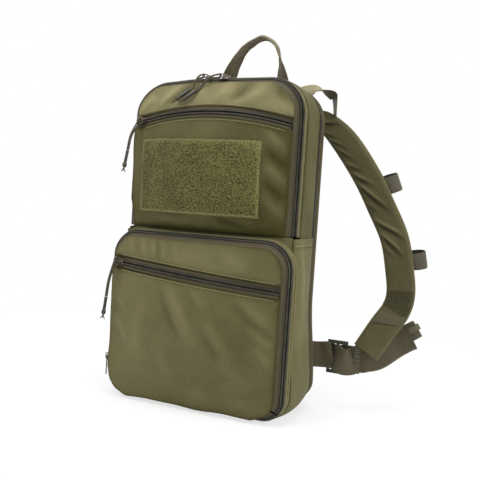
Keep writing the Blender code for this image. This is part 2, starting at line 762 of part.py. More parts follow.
# Upper front flap: it folds down about the front edge of the body, just above the pocket
upper = FrontPanel(BODY_WIDTH, FOLD_HEIGHT + GAP, BODY_HEIGHT, TOP_RADIUS, EDGE_INSET, FRONT_SEAM_Y, FRONT_BULGE, 0.10)
main_fold_y = upper.front_y(0.0, upper.base) - 2.0 * GAP
main_flap = pivot("main_flap", (0.0, main_fold_y, FOLD_HEIGHT))
upper_end = upper.half - 4.0 * GAP
upper_track = SlipTrack(
    upper.point(-upper_end, UPPER_SLIP_HEIGHT),
    upper.point(0.0, UPPER_SLIP_HEIGHT + UPPER_SLIP_ARCH),
    upper.point(upper_end, UPPER_SLIP_HEIGHT),
    upper.facing(0.0, UPPER_SLIP_HEIGHT + UPPER_SLIP_ARCH),
)
slip_margin = SLIP_TAPE_HALF + 2.0 * GAP
upper.piece(
    "crown_panel",
    lambda x: upper_track.height(x) + slip_margin,
    lambda x: upper.top,
    (14, 6),
    dense_above,
    CLOTH,
    CLOTH_OLIVE,
    main_flap,
)
upper.piece(
    "front_panel",
    lambda x: upper.base,
    lambda x: upper_track.height(x) - slip_margin,
    (14, 8),
    even,
    CLOTH,
    CLOTH_OLIVE,
    main_flap,
)
upper.piece(
    "loop_panel",
    lambda x: FOLD_HEIGHT + LOOP_PANEL_ABOVE_FOLD,
    lambda x: UPPER_SLIP_HEIGHT - LOOP_PANEL_BELOW_ZIP,
    (10, 6),
    even,
    LOOP_PANEL_THICK,
    LOOP_PILE,
    main_flap,
    lift=LOOP_PANEL_THICK + 2.0 * GAP,
    half=LOOP_PANEL_WIDTH / 2.0,
    shift=LOOP_PANEL_SHIFT,
)
slip_zip("upper_slip_zip", upper_track, main_flap)
band("main_zip_front_half", main_arch, edge_zip_profile(FRONT_SEAM_Y, -1), TAPE_TAUPE, main_flap, ring=False)

# Front pocket: a gusset with the fixed half of its zip, and a toe strip along the base below the fold
pocket_half = POCKET_WIDTH / 2.0
pocket_outline = outline(pocket_half, 0.0, POCKET_HEIGHT, POCKET_TOP_RADIUS, BASE_RADIUS)
band("pocket_gusset", pocket_outline, wall(POCKET_ZIP_REAR_Y + GAP, FRONT_SEAM_Y - GAP), CLOTH_OLIVE)
band("pocket_zip_rear_half", pocket_outline, edge_zip_profile(POCKET_SEAM_Y, 1), TAPE_TAUPE)
toe_angle = math.degrees(math.acos(1.0 - EDGE_INSET / BASE_RADIUS))
toe_right = arc(pocket_half - BASE_RADIUS, BASE_RADIUS, BASE_RADIUS, -90.0, toe_angle - 91.5)
toe_left = arc(BASE_RADIUS - pocket_half, BASE_RADIUS, BASE_RADIUS, 271.5 - toe_angle, 270.0)
band("pocket_toe", toe_left + toe_right, edge_zip_profile(POCKET_SEAM_Y, -1), TAPE_TAUPE, ring=False)

# Pocket flap: it folds down about its lower front edge
pocket = FrontPanel(
    POCKET_WIDTH, EDGE_INSET, POCKET_HEIGHT, POCKET_TOP_RADIUS, BASE_RADIUS, POCKET_SEAM_Y, POCKET_BULGE, 0.0
)
pocket_flap = pivot("pocket_flap", (0.0, POCKET_SEAM_Y - GAP, EDGE_INSET))
pocket_end = pocket.half - 4.0 * GAP
pocket_track = SlipTrack(
    pocket.point(-pocket_end, POCKET_SLIP_HEIGHT + POCKET_SLIP_DROP),
    pocket.point(0.0, POCKET_SLIP_HEIGHT),
    pocket.point(pocket_end, POCKET_SLIP_HEIGHT - POCKET_SLIP_DROP),
    pocket.facing(0.0, POCKET_SLIP_HEIGHT),
)
pocket.piece(
    "pocket_top_panel",
    lambda x: pocket_track.height(x) + slip_margin,
    lambda x: pocket.top,
    (14, 6),
    dense_above,
    CLOTH,
    CLOTH_OLIVE,
    pocket_flap,
)
pocket.piece(
    "pocket_main_panel",
    lambda x: pocket.base,
    lambda x: pocket_track.height(x) - slip_margin,
    (14, 9),
    dense_below,
    CLOTH,
    CLOTH_OLIVE,
    pocket_flap,
)
slip_zip("pocket_slip_zip", pocket_track, pocket_flap)
toe_gap = 91.5 - toe_angle
sides_right = arc(pocket_half - BASE_RADIUS, BASE_RADIUS, BASE_RADIUS, 0.5 - toe_gap, 0.0)
sides_left = arc(BASE_RADIUS - pocket_half, BASE_RADIUS, BASE_RADIUS, 180.0, 179.5 + toe_gap)
pocket_arch = sides_right + top_arcs(pocket_half, POCKET_HEIGHT, POCKET_TOP_RADIUS) + sides_left
band("pocket_zip_front_half", pocket_arch, edge_zip_profile(POCKET_SEAM_Y, -1), TAPE_TAUPE, pocket_flap, ring=False)

# Main zip: two sliders meet at the top, and their pulls lie over the crown panel
chain_facing = Vector((0.0, -math.sin(CHAIN_TILT), math.cos(CHAIN_TILT)))
main_chain_y = FRONT_SEAM_Y + CHAIN_SETBACK
crown_lift = 0.0062
for side, label, sleeve_x, knot_x, sleeve_z, knot_z in (
    (-1.0, "left", -0.0290, -0.0430, 0.4470, 0.4365),
    (1.0, "right", -0.0190, -0.0330, 0.4455, 0.4350),
):
    place = (side * MAIN_SLIDER_SPACING / 2.0, main_chain_y, BODY_HEIGHT - CHAIN_INSET)
    seat = Seat(place, (1.0, 0.0, 0.0), chain_facing)
    rider = pivot(f"main_{label}_slider_body", place, main_flap)
    slider(f"main_{label}_slider", seat, CHAIN_HALF, CHAIN_RISE, rider)
    swing = pivot(f"main_{label}_pull_body", seat.at(0.0, 0.0, bridge_lift(CHAIN_RISE)), rider)
    eye, _ = pull_eye(seat, CHAIN_RISE, -1.0)
    start = upper.point(sleeve_x, sleeve_z, crown_lift)
    end = upper.point(knot_x, knot_z, crown_lift)
    route = []
    for share, arched in ((0.35, 0.003), (0.75, 0.002)):
        route.append(eye.lerp(start, share) + Vector((0.0, -arched, arched)))
    route += [start, start + (end - start).normalized() * 0.004]
    hung_pull(f"main_{label}_pull", seat, CHAIN_RISE, -1.0, route, swing)

# Slip zips: each slider stands at the left end of its arc, and its pull hangs past the panel's edge
for label, track, carrier, drop, bow in (
    ("upper_slip", upper_track, main_flap, 0.040, 0.016),
    ("pocket_slip", pocket_track, pocket_flap, 0.048, 0.010),
):
    start_angle = (SLIDER_LENGTH / 2.0 + SLIP_STOP + 2.0 * GAP) / track.radius - track.reach
    turned = track.turn(start_angle)
    seat = Seat(track.place(start_angle, 0.0, 0.0), turned @ track.along, turned @ track.outward)
    rider = pivot(f"{label}_slider_body", track.centre, carrier)
    slider(f"{label}_slider", seat, SLIP_CHAIN_HALF, SLIP_RISE, rider)
    swing = pivot(f"{label}_pull_body", seat.at(0.0, 0.0, bridge_lift(SLIP_RISE)), rider)
    eye, _ = pull_eye(seat, SLIP_RISE, -1.0)
    route = []
    for fall, forward in ((0.25, 0.45), (0.55, 0.85), (1.0, 1.0)):
        route.append(eye + Vector((-0.004 * fall, -bow * forward, -drop * fall)))
    hung_pull(f"{label}_pull", seat, SLIP_RISE, -1.0, route, swing)

# Sliders of the pocket's edge zip and of the rear zip, on the left side, each with a flat tab
left_facing = Vector((-math.cos(CHAIN_TILT), -math.sin(CHAIN_TILT), 0.0))
pocket_chain = (CHAIN_INSET - pocket_half, POCKET_SEAM_Y + CHAIN_SETBACK, BASE_RADIUS + POCKET_SLIDER_RISE)
rear_place = (-body_half - rear_chain[0], rear_chain[1], REAR_SLIDER_HEIGHT)
for label, place, facing, half, carrier in (
    ("pocket_zip", pocket_chain, left_facing, CHAIN_HALF, pocket_flap),
    ("rear_zip", rear_place, Vector((-1.0, 0.0, 0.0)), REAR_CHAIN_HALF, None),
):
    seat = Seat(place, (0.0, 0.0, 1.0), facing)
    rider = pivot(f"{label}_slider_body", place, carrier)
    slider(f"{label}_slider", seat, half, CHAIN_RISE, rider)
    swing = pivot(f"{label}_tab_body", seat.at(0.0, 0.0, bridge_lift(CHAIN_RISE)), rider)
    pull_tab(f"{label}_tab", seat, CHAIN_RISE, swing)

# Carry handle: a webbing loop at the top of the back panel. Its ends lie flat along the seam, and it twists upward
handle_y = (BACK_FRONT_Y + BACK_REAR_Y) / 2.0
handle_base = BODY_HEIGHT + HANDLE_THICK / 2.0 + 2.0 * GAP
handle_body = pivot("handle_body", (HANDLE_SHIFT, handle_y, handle_base))
handle_half = HANDLE_SPAN / 2.0
handle_foot = handle_base - 2.5 * GAP
handle_path = []
handle_faces = []
handle_turns = ((0.0, 1.0, 0.0), (0.18, 1.0, 20.0), (0.5, 0.86, 60.0), (0.82, 0.58, 85.0), (1.0, 0.0, 90.0))
for share, reach, twist in handle_turns:
    handle_path.append((HANDLE_SHIFT - handle_half * reach, handle_y, handle_foot + HANDLE_RISE * share))
    lean = math.radians(twist)
    handle_faces.append((-math.sin(lean), math.cos(lean), math.sin(lean)))
handle_path += [(2.0 * HANDLE_SHIFT - x, y, z) for x, y, z in reversed(handle_path[:-1])]
handle_faces += [(-x, y, z) for x, y, z in reversed(handle_faces[:-1])]
handle_widths = [HANDLE_WIDTH] * len(handle_path)
strip("carry_handle", handle_path, handle_faces, handle_widths, HANDLE_THICK, WEBBING, handle_body, HANDLE_WIDTH / 2.0)


def box_row(place, edge, deep, tall):
    """The four corners of a section across the X axis."""
    corners = ((-deep, -tall), (deep, -tall), (deep, tall), (-deep, tall))
    return [(place[0] + edge, place[1] + y, place[2] + z) for y, z in corners]


def harness(label, side, flare):
    """One shoulder strap with its yoke band, loops and webbing. The flare is how far it stands out sideways."""

    def at(x, y, z):
        return side * x, y, z

    seat_y = BACK_REAR_Y + GAP
    strap_y = seat_y + STRAP_THICK / 2.0
    lock_y = seat_y + LOCK_STAND
    behind = LOCK_THICK / 2.0 + WEB_THICK / 2.0 + WEB_CLEARANCE
    web_y = lock_y + behind
    end_x = body_half + STRAP_END * flare
    end_y = web_y - WEB_THICK / 2.0 - STRAP_THICK / 2.0 - WEB_CLEARANCE
    rise = BODY_HEIGHT - WEB_HEIGHT

    # Each stop of the strap: shares of the flare, of its stand off the back and of the rise, then its width
    stops = (
        (-0.05, 0.48, 0.877, STRAP_NECK),
        (0.20, 0.80, 0.816, STRAP_FOOT),
        (0.49, 0.93, 0.693, STRAP_WIDTH),
        (0.69, 0.97, 0.579, STRAP_WIDTH),
        (0.87, 1.00, 0.464, STRAP_WIDTH),
        (0.96, 0.97, 0.346, STRAP_WIDTH),
        (1.00, 0.83, 0.257, STRAP_WIDTH),
        (0.96, 0.67, 0.193, STRAP_WIDTH),
        (0.84, 0.37, 0.126, STRAP_WIDTH),
    )
    head_z = WEB_HEIGHT + rise * STRAP_HEAD_RISE
    head_x = body_half - STRAP_HEAD_INSET
    path = [at(head_x, strap_y, head_z), at(head_x + STRAP_HEAD_LENGTH, strap_y, head_z)]
    for out, stand, height, _ in stops:
        path.append(at(body_half + flare * out, strap_y + STRAP_STAND * stand, WEB_HEIGHT + rise * height))
    path.append(at(end_x, end_y, WEB_HEIGHT + STRAP_END_RISE))
    faces = [(0.0, 1.0, 0.0)] * len(path)
    widths = [STRAP_NECK] * 2 + [width for _, _, _, width in stops] + [STRAP_FOOT]
    strip(f"shoulder_strap_{label}", path, faces, widths, STRAP_THICK, PADDING, None, STRAP_STEP, STRAP_EDGE)

    # Yoke band: from the top of the back panel out past its side, folding down to the strap's head.
    # Its stops are in band widths from the back panel's top corner, each with the way its face looks.
    yoke_stops = (
        (-2.286, 0.000, -0.839, (0.0, -1.0, 0.0)),
        (-1.571, 0.125, -0.785, (0.0, -0.98, 0.2)),
        (-0.857, 0.375, -0.464, (0.0, -0.85, 0.5)),
        (-0.214, 0.536, -0.053, (0.1 * side, -0.6, 0.8)),
        (0.304, 0.714, -0.053, (0.8 * side, -0.2, 0.6)),
        (0.411, 0.893, -1.089, (side, 0.0, 0.1)),
    )
    yoke_y = seat_y + WEB_THICK / 2.0
    yoke = []
    for out, back, up, _ in yoke_stops:
        yoke.append(at(body_half + YOKE_WIDTH * out, yoke_y + YOKE_WIDTH * back, BODY_HEIGHT + YOKE_WIDTH * up))
    looks = [look for _, _, _, look in yoke_stops]
    strip(f"yoke_band_{label}", yoke, looks, [YOKE_WIDTH] * len(yoke), WEB_THICK, WEBBING, None, YOKE_STEP)

    # Webbing loops: each stands on the outer face of the strap and reaches past its outer edge
    for name, low, high in (("upper", 4, 5), ("lower", 6, 7)):
        foot = (Vector(path[low]) + Vector(path[high])) / 2.0
        along = (Vector(path[high]) - Vector(path[low])).normalized()
        outward = along.cross(Vector((0.0, 1.0, 0.0))) * side
        rear = STRAP_THICK / 2.0 + LOOP_REACH[1] + LOOP_THICK / 2.0 + 2.0 * GAP
        centre = foot + outward * (STRAP_WIDTH / 2.0 + LOOP_OVERHANG) + Vector((0.0, rear, 0.0))
        sizes = (LOOP_REACH, LOOP_THICK, LOOP_WIDTH)
        hoop(f"strap_loop_{name}_{label}", centre, outward, (0.0, 1.0, 0.0), *sizes, WEBBING)

    # Lower webbing: sewn to the back panel, woven through the ladder lock, then round behind the strap's end
    lock_middle = end_x - LOCK_SETBACK
    lock_half = LOCK_LENGTH / 2.0
    front_y = lock_y - behind
    inner = lock_half - LOCK_BAR
    bar = LOCK_BAR / 2.0
    root = lock_middle - lock_half
    tail_y = web_y + TAIL_STAND
    lead = (root + WEB_ROOT_STEP - WEB_ROOT, seat_y + LOCK_STAND * 0.7, 0.0)
    web = [(root - WEB_ROOT, seat_y + WEB_THICK / 2.0, 0.0), lead]
    web += [(lock_middle - inner, web_y, 0.0), (lock_middle - bar, front_y, 0.0), (lock_middle + bar, front_y, 0.0)]
    web += [(lock_middle + inner, web_y, 0.0)]
    bends = ((-0.816, 0.0, 0.0), (-0.382, 0.0, 0.0), (-0.211, 0.016, 0.0), (0.211, 0.184, -0.026))
    web += [(end_x + WEB_WIDTH * out, web_y + WEB_WIDTH * back, WEB_WIDTH * up) for out, back, up in bends]
    tails = ((0.763, -0.118, 0.368), (1.158, 0.0, 0.711), (1.368, 0.0, 0.895))
    web += [(end_x + WEB_WIDTH * out, tail_y + WEB_WIDTH * back, WEB_WIDTH * up) for out, back, up in tails]
    web = [at(x, y, WEB_HEIGHT + z) for x, y, z in web]
    web_faces = [(0.0, 1.0, 0.0)] * len(web)
    strip(f"lower_webbing_{label}", web, web_faces, [WEB_WIDTH] * len(web), WEB_THICK, WEBBING, None, WEB_STEP)
    slot_half = WEB_WIDTH / 2.0 + WEB_CLEARANCE
    lock_height = slot_half + LOCK_RIM

    def lock_plate(name, left, right, half, thick):
        corners = [(left, -half), (right, -half), (right, half), (left, half)]
        corners = [(side * x, WEB_HEIGHT + z) for x, z in corners]
        return slab(name, corners, lock_y - thick / 2.0, lock_y + thick / 2.0, ACETAL)

    name = f"ladder_lock_{label}"
    lock = lock_plate(name, root, lock_middle + lock_half, lock_height, LOCK_THICK)
    for slot, left, right in ((1, -inner, -bar), (2, bar, inner)):
        tool = lock_plate(f"{name}_slot_{slot}", lock_middle + left, lock_middle + right, slot_half, 3.0 * LOCK_THICK)
        combine(lock, tool, "DIFFERENCE")

    # Keeper: a band of elastic round the webbing, which slides along it
    keeper_place = at(end_x - KEEPER_SETBACK, web_y, WEB_HEIGHT)
    keeper = pivot(f"web_keeper_{label}_body", keeper_place)
    room = (WEB_THICK / 2.0 + SLIDER_CLEARANCE, WEB_WIDTH / 2.0 + WEB_CLEARANCE)
    sides = (-KEEPER_WIDTH / 2.0, KEEPER_WIDTH / 2.0)
    outer_rows = [box_row(keeper_place, edge, room[0] + LOOP_THICK, room[1] + LOOP_THICK) for edge in sides]
    inner_rows = [box_row(keeper_place, 2.0 * edge, *room) for edge in sides]
    name = f"web_keeper_{label}"
    combine(loft(name, outer_rows, WEBBING, keeper), loft(name + "_bore", inner_rows, WEBBING, keeper), "DIFFERENCE")

    # Rolled end of the webbing, behind its last stretch
    roll_y = tail_y + WEB_THICK / 2.0 + SLIDER_CLEARANCE + ROLL_REACH[1]
    slope = Vector((0.82 * side, 0.0, 0.57))
    roll = Vector(at(end_x + WEB_WIDTH * 1.237, roll_y, WEB_HEIGHT + WEB_WIDTH * 1.132))
    across = slope.cross(Vector((0.0, 1.0, 0.0)))
    rows = []
    for edge in (-ROLL_WIDTH / 2.0, ROLL_WIDTH / 2.0):
        row = []
        for step in range(14):
            angle = 2.0 * math.pi * step / 14
            oval = slope * ROLL_REACH[0] * math.cos(angle) + Vector((0.0, ROLL_REACH[1] * math.sin(angle), 0.0))
            row.append(roll + oval + across * edge)
        rows.append(row)
    loft(f"web_roll_{label}", rows, WEBBING)


harness("right", 1.0, STRAP_FLARE_RIGHT)
harness("left", -1.0, STRAP_FLARE_LEFT)
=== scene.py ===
"""A slim flat pack: cloth panels, zips, webbing and padded straps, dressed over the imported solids."""

import math

import bmesh
import bpy
import numpy as np
from mathutils import Matrix, Vector


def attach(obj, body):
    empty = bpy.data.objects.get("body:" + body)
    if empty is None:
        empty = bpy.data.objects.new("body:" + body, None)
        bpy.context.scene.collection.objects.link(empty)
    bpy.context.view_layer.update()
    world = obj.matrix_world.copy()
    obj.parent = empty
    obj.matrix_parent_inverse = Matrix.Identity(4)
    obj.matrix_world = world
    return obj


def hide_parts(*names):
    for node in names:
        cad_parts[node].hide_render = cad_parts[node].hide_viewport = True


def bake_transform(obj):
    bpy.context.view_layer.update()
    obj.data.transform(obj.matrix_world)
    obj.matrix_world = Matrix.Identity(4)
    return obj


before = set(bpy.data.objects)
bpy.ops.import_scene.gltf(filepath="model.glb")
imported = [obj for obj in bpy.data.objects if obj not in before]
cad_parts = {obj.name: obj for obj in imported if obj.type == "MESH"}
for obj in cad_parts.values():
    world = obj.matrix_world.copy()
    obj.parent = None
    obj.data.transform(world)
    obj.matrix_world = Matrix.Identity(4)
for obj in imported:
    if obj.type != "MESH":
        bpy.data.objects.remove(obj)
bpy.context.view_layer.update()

# Stage: a plain pale floor under soft light from above and from both sides, seen from the front right.
# Floor and world are white to the camera and to reflections, and the floor keeps the pack's soft shadow.
LENS = 47.46
SENSOR = 36.0
CAMERA_PLACE = (0.3921, -0.84915, 0.28648)
CAMERA_RIGHT = (0.917417, 0.392737, 0.064064)
CAMERA_UP = (-0.079992, 0.024308, 0.996499)
CAMERA_BACK = (0.389805, -0.919330, 0.053716)
WHITE = (1.0, 1.0, 1.0, 1.0)
BLACK = (0.0, 0.0, 0.0, 1.0)
FLOOR_REACH = 14.0
FLOOR_DROP = 0.0004
FLOOR_COLOUR = (0.86, 0.86, 0.86, 1.0)
FLOOR_FADE = (0.66, 0.45)
SKY_COLOUR = (0.95, 0.97, 1.0, 1.0)
SKY_STRENGTH = 0.30
LAMPS = (
    ("key_lamp", (-0.85, -1.00, 1.95), (0.0, 0.0, 0.25), 1.1, 25.0, (1.0, 0.97, 0.92)),
    ("side_lamp", (1.65, -0.35, 0.95), (0.1, 0.0, 0.25), 1.1, 17.0, (1.0, 0.99, 0.96)),
    ("top_lamp", (0.15, -0.05, 2.0), (0.0, 0.0, 0.40), 1.0, 26.0, (1.0, 0.98, 0.94)),
    ("rear_lamp", (-0.9, 1.4, 1.1), (0.0, 0.0, 0.25), 1.3, 14.0, (1.0, 1.0, 1.0)),
)


class Socket:
    """One output in a node tree. Arithmetic on it adds Math nodes, and node() adds one of any other kind."""

    def __init__(self, tree, link):
        self.tree = tree
        self.link = link

    def node(self, kind, settings=None, values=None, out=0):
        """Adds a node: its settings first, a ramp's stops among them, then each socket's value or link."""
        made = self.tree.nodes.new(kind)
        for key, value in (settings or {}).items():
            if key == "stops":
                for stop, (place, colour) in zip(made.color_ramp.elements, value):
                    stop.position = place
                    stop.color = colour
            else:
                setattr(made, key, value)
        for key, value in (values or {}).items():
            if isinstance(value, Socket):
                self.tree.links.new(value.link, made.inputs[key])
            else:
                made.inputs[key].default_value = value
        return Socket(self.tree, made.outputs[out])

    def other(self, out):
        """Another output of the same node."""
        return Socket(self.tree, self.link.node.outputs[out])

    def spots(self):
        """Places in the object's own frame."""
        return self.node("ShaderNodeTexCoord", out="Object")

    def cloth(self):
        """Places in the cloth map."""
        return self.node("ShaderNodeUVMap", {"uv_map": "cloth"})

    def threads(self):
        """The ways across and along in the cloth map."""
        across = self.node("ShaderNodeSeparateXYZ", values={"Vector": self.cloth()})
        return across, across.other(1)

    def tone_and_shading(self):
        """The shading that each piece carries in its points: painted light on ridges and lit sides, painted
        shade in seams, hollows and shaded sides, with some plain tone.
        """
        return self.node("ShaderNodeAttribute", {"attribute_name": "tone_and_shading"}, out="Fac")

    def noise(self, scale, detail=2.0):
        """Noise over the places that this socket gives."""
        return self.node("ShaderNodeTexNoise", values={"Vector": self, "Scale": scale, "Detail": detail})

    def maths(self, operation, *values):
        return self.node("ShaderNodeMath", {"operation": operation}, dict(enumerate(values)))

    def sine(self):
        return self.maths("SINE", self)

    def held(self):
        """The same value, held between 0 and 1."""
        return self.maths("MAXIMUM", self.maths("MINIMUM", self, 1.0), 0.0)

    def tinted(self, low, high):
        """A colour between two others, with this socket as the share of the second."""
        colours = {0: self, 6: (*low, 1.0), 7: (*high, 1.0)}
        return self.node("ShaderNodeMix", {"data_type": "RGBA"}, colours, 2)

    def feed(self, shader, name):
        self.tree.links.new(self.link, shader.inputs[name])

    def bump(self, shader, strength, distance):
        """Uses this socket as a height, and tilts the shader's surface by it."""
        values = {"Strength": strength, "Distance": distance, "Height": self}
        self.node("ShaderNodeBump", values=values).feed(shader, "Normal")

    def __add__(self, value):
        return self.maths("ADD", self, value)

    def __sub__(self, value):
        return self.maths("SUBTRACT", self, value)

    def __rsub__(self, value):
        return self.maths("SUBTRACT", value, self)

    def __mul__(self, value):
        return self.maths("MULTIPLY", self, value)

    __radd__ = __add__
    __rmul__ = __mul__


def new_finish(name, settings):
    """A new material with its shader set up, and a socket to start its pattern from."""
    made = bpy.data.materials.new(name)
    made.use_nodes = True
    shader = made.node_tree.nodes["Principled BSDF"]
    for key, value in settings.items():
        shader.inputs[key].default_value = value
    return made, shader, Socket(made.node_tree, shader.outputs[0])


def show_white(start, kind, output, fade):
    """Turns a shader white, by the fade, to rays from the camera, a reflection or a clear body."""
    path = start.node("ShaderNodeLightPath", out="Is Camera Ray")
    seen = path.maths("MAXIMUM", path, path.other("Is Glossy Ray"))
    seen = seen.maths("MAXIMUM", seen, path.other("Is Transmission Ray"))
    bright = start.node(kind, values={"Color": WHITE, "Strength": 1.0})
    mix = start.node("ShaderNodeMixShader", values={0: seen * fade, 1: start, 2: bright})
    mix.feed(output, "Surface")


def in_scene(name, data):
    """A new object with the given data, linked into the scene."""
    made = bpy.data.objects.new(name, data)
    scene.collection.objects.link(made)
    return made


scene = bpy.context.scene
scene.view_settings.view_transform = "Standard"
lens = bpy.data.cameras.new("camera")
lens.sensor_width = SENSOR
lens.lens = LENS
scene.camera = in_scene("camera", lens)
axes = zip(CAMERA_RIGHT, CAMERA_UP, CAMERA_BACK, CAMERA_PLACE)
scene.camera.matrix_world = Matrix([*axes, (0.0, 0.0, 0.0, 1.0)])

for lamp_name, place, aim, size, power, colour in LAMPS:
    area = bpy.data.lights.new(lamp_name, "AREA")
    area.size = size
    area.energy = power
    area.color = colour
    turn = (Vector(place) - Vector(aim)).to_track_quat("Z", "Y")
    in_scene(lamp_name, area).matrix_world = Matrix.Translation(place) @ turn.to_matrix().to_4x4()

world = bpy.data.worlds.new("studio")
scene.world = world
world.use_nodes = True
sky = world.node_tree.nodes["Background"]
sky.inputs["Color"].default_value = SKY_COLOUR
sky.inputs["Strength"].default_value = SKY_STRENGTH
sky_socket = Socket(world.node_tree, sky.outputs[0])
show_white(sky_socket, "ShaderNodeBackground", world.node_tree.nodes["World Output"], 1.0)

floor_mesh = bpy.data.meshes.new("floor")
corners = ((-1, -1), (1, -1), (1, 1), (-1, 1))
floor_points = [(FLOOR_REACH * x, FLOOR_REACH * y, -FLOOR_DROP) for x, y in corners]
floor_mesh.from_pydata(floor_points, [], [(0, 1, 2, 3)])
floor = in_scene("floor", floor_mesh)
floor_finish, _, floor_start = new_finish("pale_floor", {"Base Color": FLOOR_COLOUR, "Roughness": 0.9})
floor_place = floor_start.spots()
floor_far = floor_place.node("ShaderNodeVectorMath", {"operation": "LENGTH"}, {0: floor_place}, "Value")
floor_fade = floor_far.maths("MINIMUM", floor_far * FLOOR_FADE[1] + FLOOR_FADE[0], 1.0)
show_white(floor_start, "ShaderNodeEmission", floor_finish.node_tree.nodes["Material Output"], floor_fade)
floor_mesh.materials.append(floor_finish)

# Zip pull cords: thin braided cord, doubled through each pull's wire ring.
# Both ends go into a shrink-tube sleeve, which slides on the cord and hides where they are joined.
CORD_DIAMETER = 0.0024
CORD_STEP = 0.0009
RING_BEND = 0.0025
STRAND_SPREAD = 0.00139
BRAID_PITCH = 3200.0
CORD_COLOUR = ((0.030, 0.026, 0.014), (0.085, 0.074, 0.042))
SHARP_ANGLE = math.radians(50.0)


class Skin:
    """Collects grids of points into one closed mesh. Each cell of a grid is one face."""

    def __init__(self):
        self.parts = []
        self.count = 0

    def add(self, points, faces, cloth, tone_and_shading, tints):
        total = len(points)
        cloth = np.zeros((total, 2)) if cloth is None else cloth.reshape(total, 2)
        self.parts.append((points, faces + self.count, cloth, tone_and_shading, np.broadcast_to(tints, len(faces))))
        self.count += total

    def grid(self, points, cloth=None, tone_and_shading=0.0, tint=0):
        """A grid of rows and columns. The tint is one finish for all, or one for each column of faces."""
        rows, columns = points.shape[:2]
        index = np.arange(rows * columns).reshape(rows, columns)
        around = (index[:-1, :-1], index[:-1, 1:], index[1:, 1:], index[1:, :-1])
        faces = np.stack(around, axis=-1).reshape(-1, 4)
        tone_and_shading = np.broadcast_to(tone_and_shading, (rows, columns)).reshape(-1)
        tints = np.broadcast_to(tint, (rows - 1, columns - 1)).ravel()
        self.add(points.reshape(-1, 3), faces, cloth, tone_and_shading, tints)

    def shell(self, front, back, cloth, tone_and_shading=0.0, tint=0):
        """Two grids of one shape, joined along their borders into a closed sheet."""
        tone_and_shading = np.broadcast_to(tone_and_shading, front.shape[:2])
        self.grid(front, cloth, tone_and_shading, tint)
        self.grid(back, cloth, tone_and_shading, tint)
        for cut in (np.s_[0, :], np.s_[-1, :], np.s_[:, 0], np.s_[:, -1]):
            border_cloth = np.stack([cloth[cut], cloth[cut]])
            self.grid(np.stack([front[cut], back[cut]]), border_cloth, tone_and_shading[cut], tint)

    def tube(self, rings, cloth=None, tone_and_shading=0.0, tint=0):
        """Closed rings, one to a row, with a flat cap on each end. The last column repeats the first."""
        self.grid(rings, cloth, tone_and_shading, tint)
        for row in (0, -1):
            middle = np.broadcast_to(rings[row, :-1].mean(axis=0), rings[row].shape)
            ends = None if cloth is None else np.stack([cloth[row], cloth[row]])
            self.grid(np.stack([rings[row], middle]), ends, tint=np.ravel(tint)[0])

    def copies(self, faces, spots, tint):
        """One small closed shape repeated: the spots are its points, a row for each copy."""
        copies, corners = spots.shape[:2]
        starts = np.arange(copies)[:, None, None] * corners
        faces = (faces[None] + starts).reshape(-1, faces.shape[1])
        self.add(spots.reshape(-1, 3), faces, None, np.zeros(copies * corners), tint)

    def make(self, name, finishes, body, replaced):
        """Builds the object, closes its seams, turns its faces outward, and hangs it on a body; given
        anything else, it only bakes the object's place.
        """
        points, faces, cloth, tone_and_shading, tints = (np.concatenate(part) for part in zip(*self.parts))
        mesh = bpy.data.meshes.new(name)
        mesh.vertices.add(len(points))
        mesh.vertices.foreach_set("co", points.ravel())
        mesh.loops.add(faces.size)
        mesh.loops.foreach_set("vertex_index", faces.ravel().astype(np.int32))
        mesh.polygons.add(len(faces))
        mesh.polygons.foreach_set("loop_start", np.arange(0, faces.size, 4, dtype=np.int32))
        mesh.polygons.foreach_set("material_index", tints.astype(np.int32))
        mesh.update(calc_edges=True)
        mesh.uv_layers.new(name="cloth").data.foreach_set("uv", cloth[faces.ravel()].ravel())
        # Each point's painted light and painted shade, with some plain tone, goes into one attribute.
        mesh.attributes.new("tone_and_shading", "FLOAT", "POINT").data.foreach_set("value", tone_and_shading)
        for finish in finishes:
            mesh.materials.append(finish)
        work = bmesh.new()
        work.from_mesh(mesh)
        bmesh.ops.remove_doubles(work, verts=work.verts, dist=1e-6)
        bmesh.ops.dissolve_degenerate(work, edges=work.edges, dist=1e-7)
        bmesh.ops.recalc_face_normals(work, faces=work.faces)
        work.to_mesh(mesh)
        work.free()
        mesh.shade_smooth()
        mesh.set_sharp_from_angle(angle=SHARP_ANGLE)
        made = in_scene(name, mesh)
        if isinstance(body, str):
            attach(made, body)
        else:
            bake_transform(made)
        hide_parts(*replaced)
        return made


def unit(vectors):
    return vectors / np.maximum(np.linalg.norm(vectors, axis=-1, keepdims=True), 1e-12)


def places(*parts):
    """Arrays stretched to one shape, as the parts of each place: x, y and z, or two in a cloth map."""
    return np.stack(np.broadcast_arrays(*parts), axis=-1)


def lengths(path):
    """How far along a path each of its points is."""
    return np.concatenate([[0.0], np.cumsum(np.linalg.norm(np.diff(path, axis=0), axis=1))])


def read_along(wanted, walked, values):
    """Values given at the lengths walked, read at the wanted lengths."""
    return np.stack([np.interp(wanted, walked, column) for column in values.T], axis=-1)


def even_path(points, step):
    """Points an even step apart on a smooth curve through the given ones.

    The curve is made of cubic pieces, whose tangents come from the neighbours.
    """
    points = np.asarray(points, float)
    ends = np.concatenate([2.0 * points[:1] - points[1:2], points, 2.0 * points[-1:] - points[-2:-1]])
    before, start, stop, after = (ends[i:len(ends) - 3 + i, None] for i in range(4))
    t = np.linspace(0.0, 1.0, 24, endpoint=False)[None, :, None]
    bend = (2.0 * before - 5.0 * start + 4.0 * stop - after) * t ** 2
    twist = (3.0 * (start - stop) + after - before) * t ** 3
    dense = 0.5 * (2.0 * start + (stop - before) * t + bend + twist)
    dense = np.concatenate([dense.reshape(-1, points.shape[1]), points[-1:]])
    walked = lengths(dense[:, :3])
    return read_along(np.linspace(0.0, walked[-1], max(2, round(walked[-1] / step)) + 1), walked, dense)


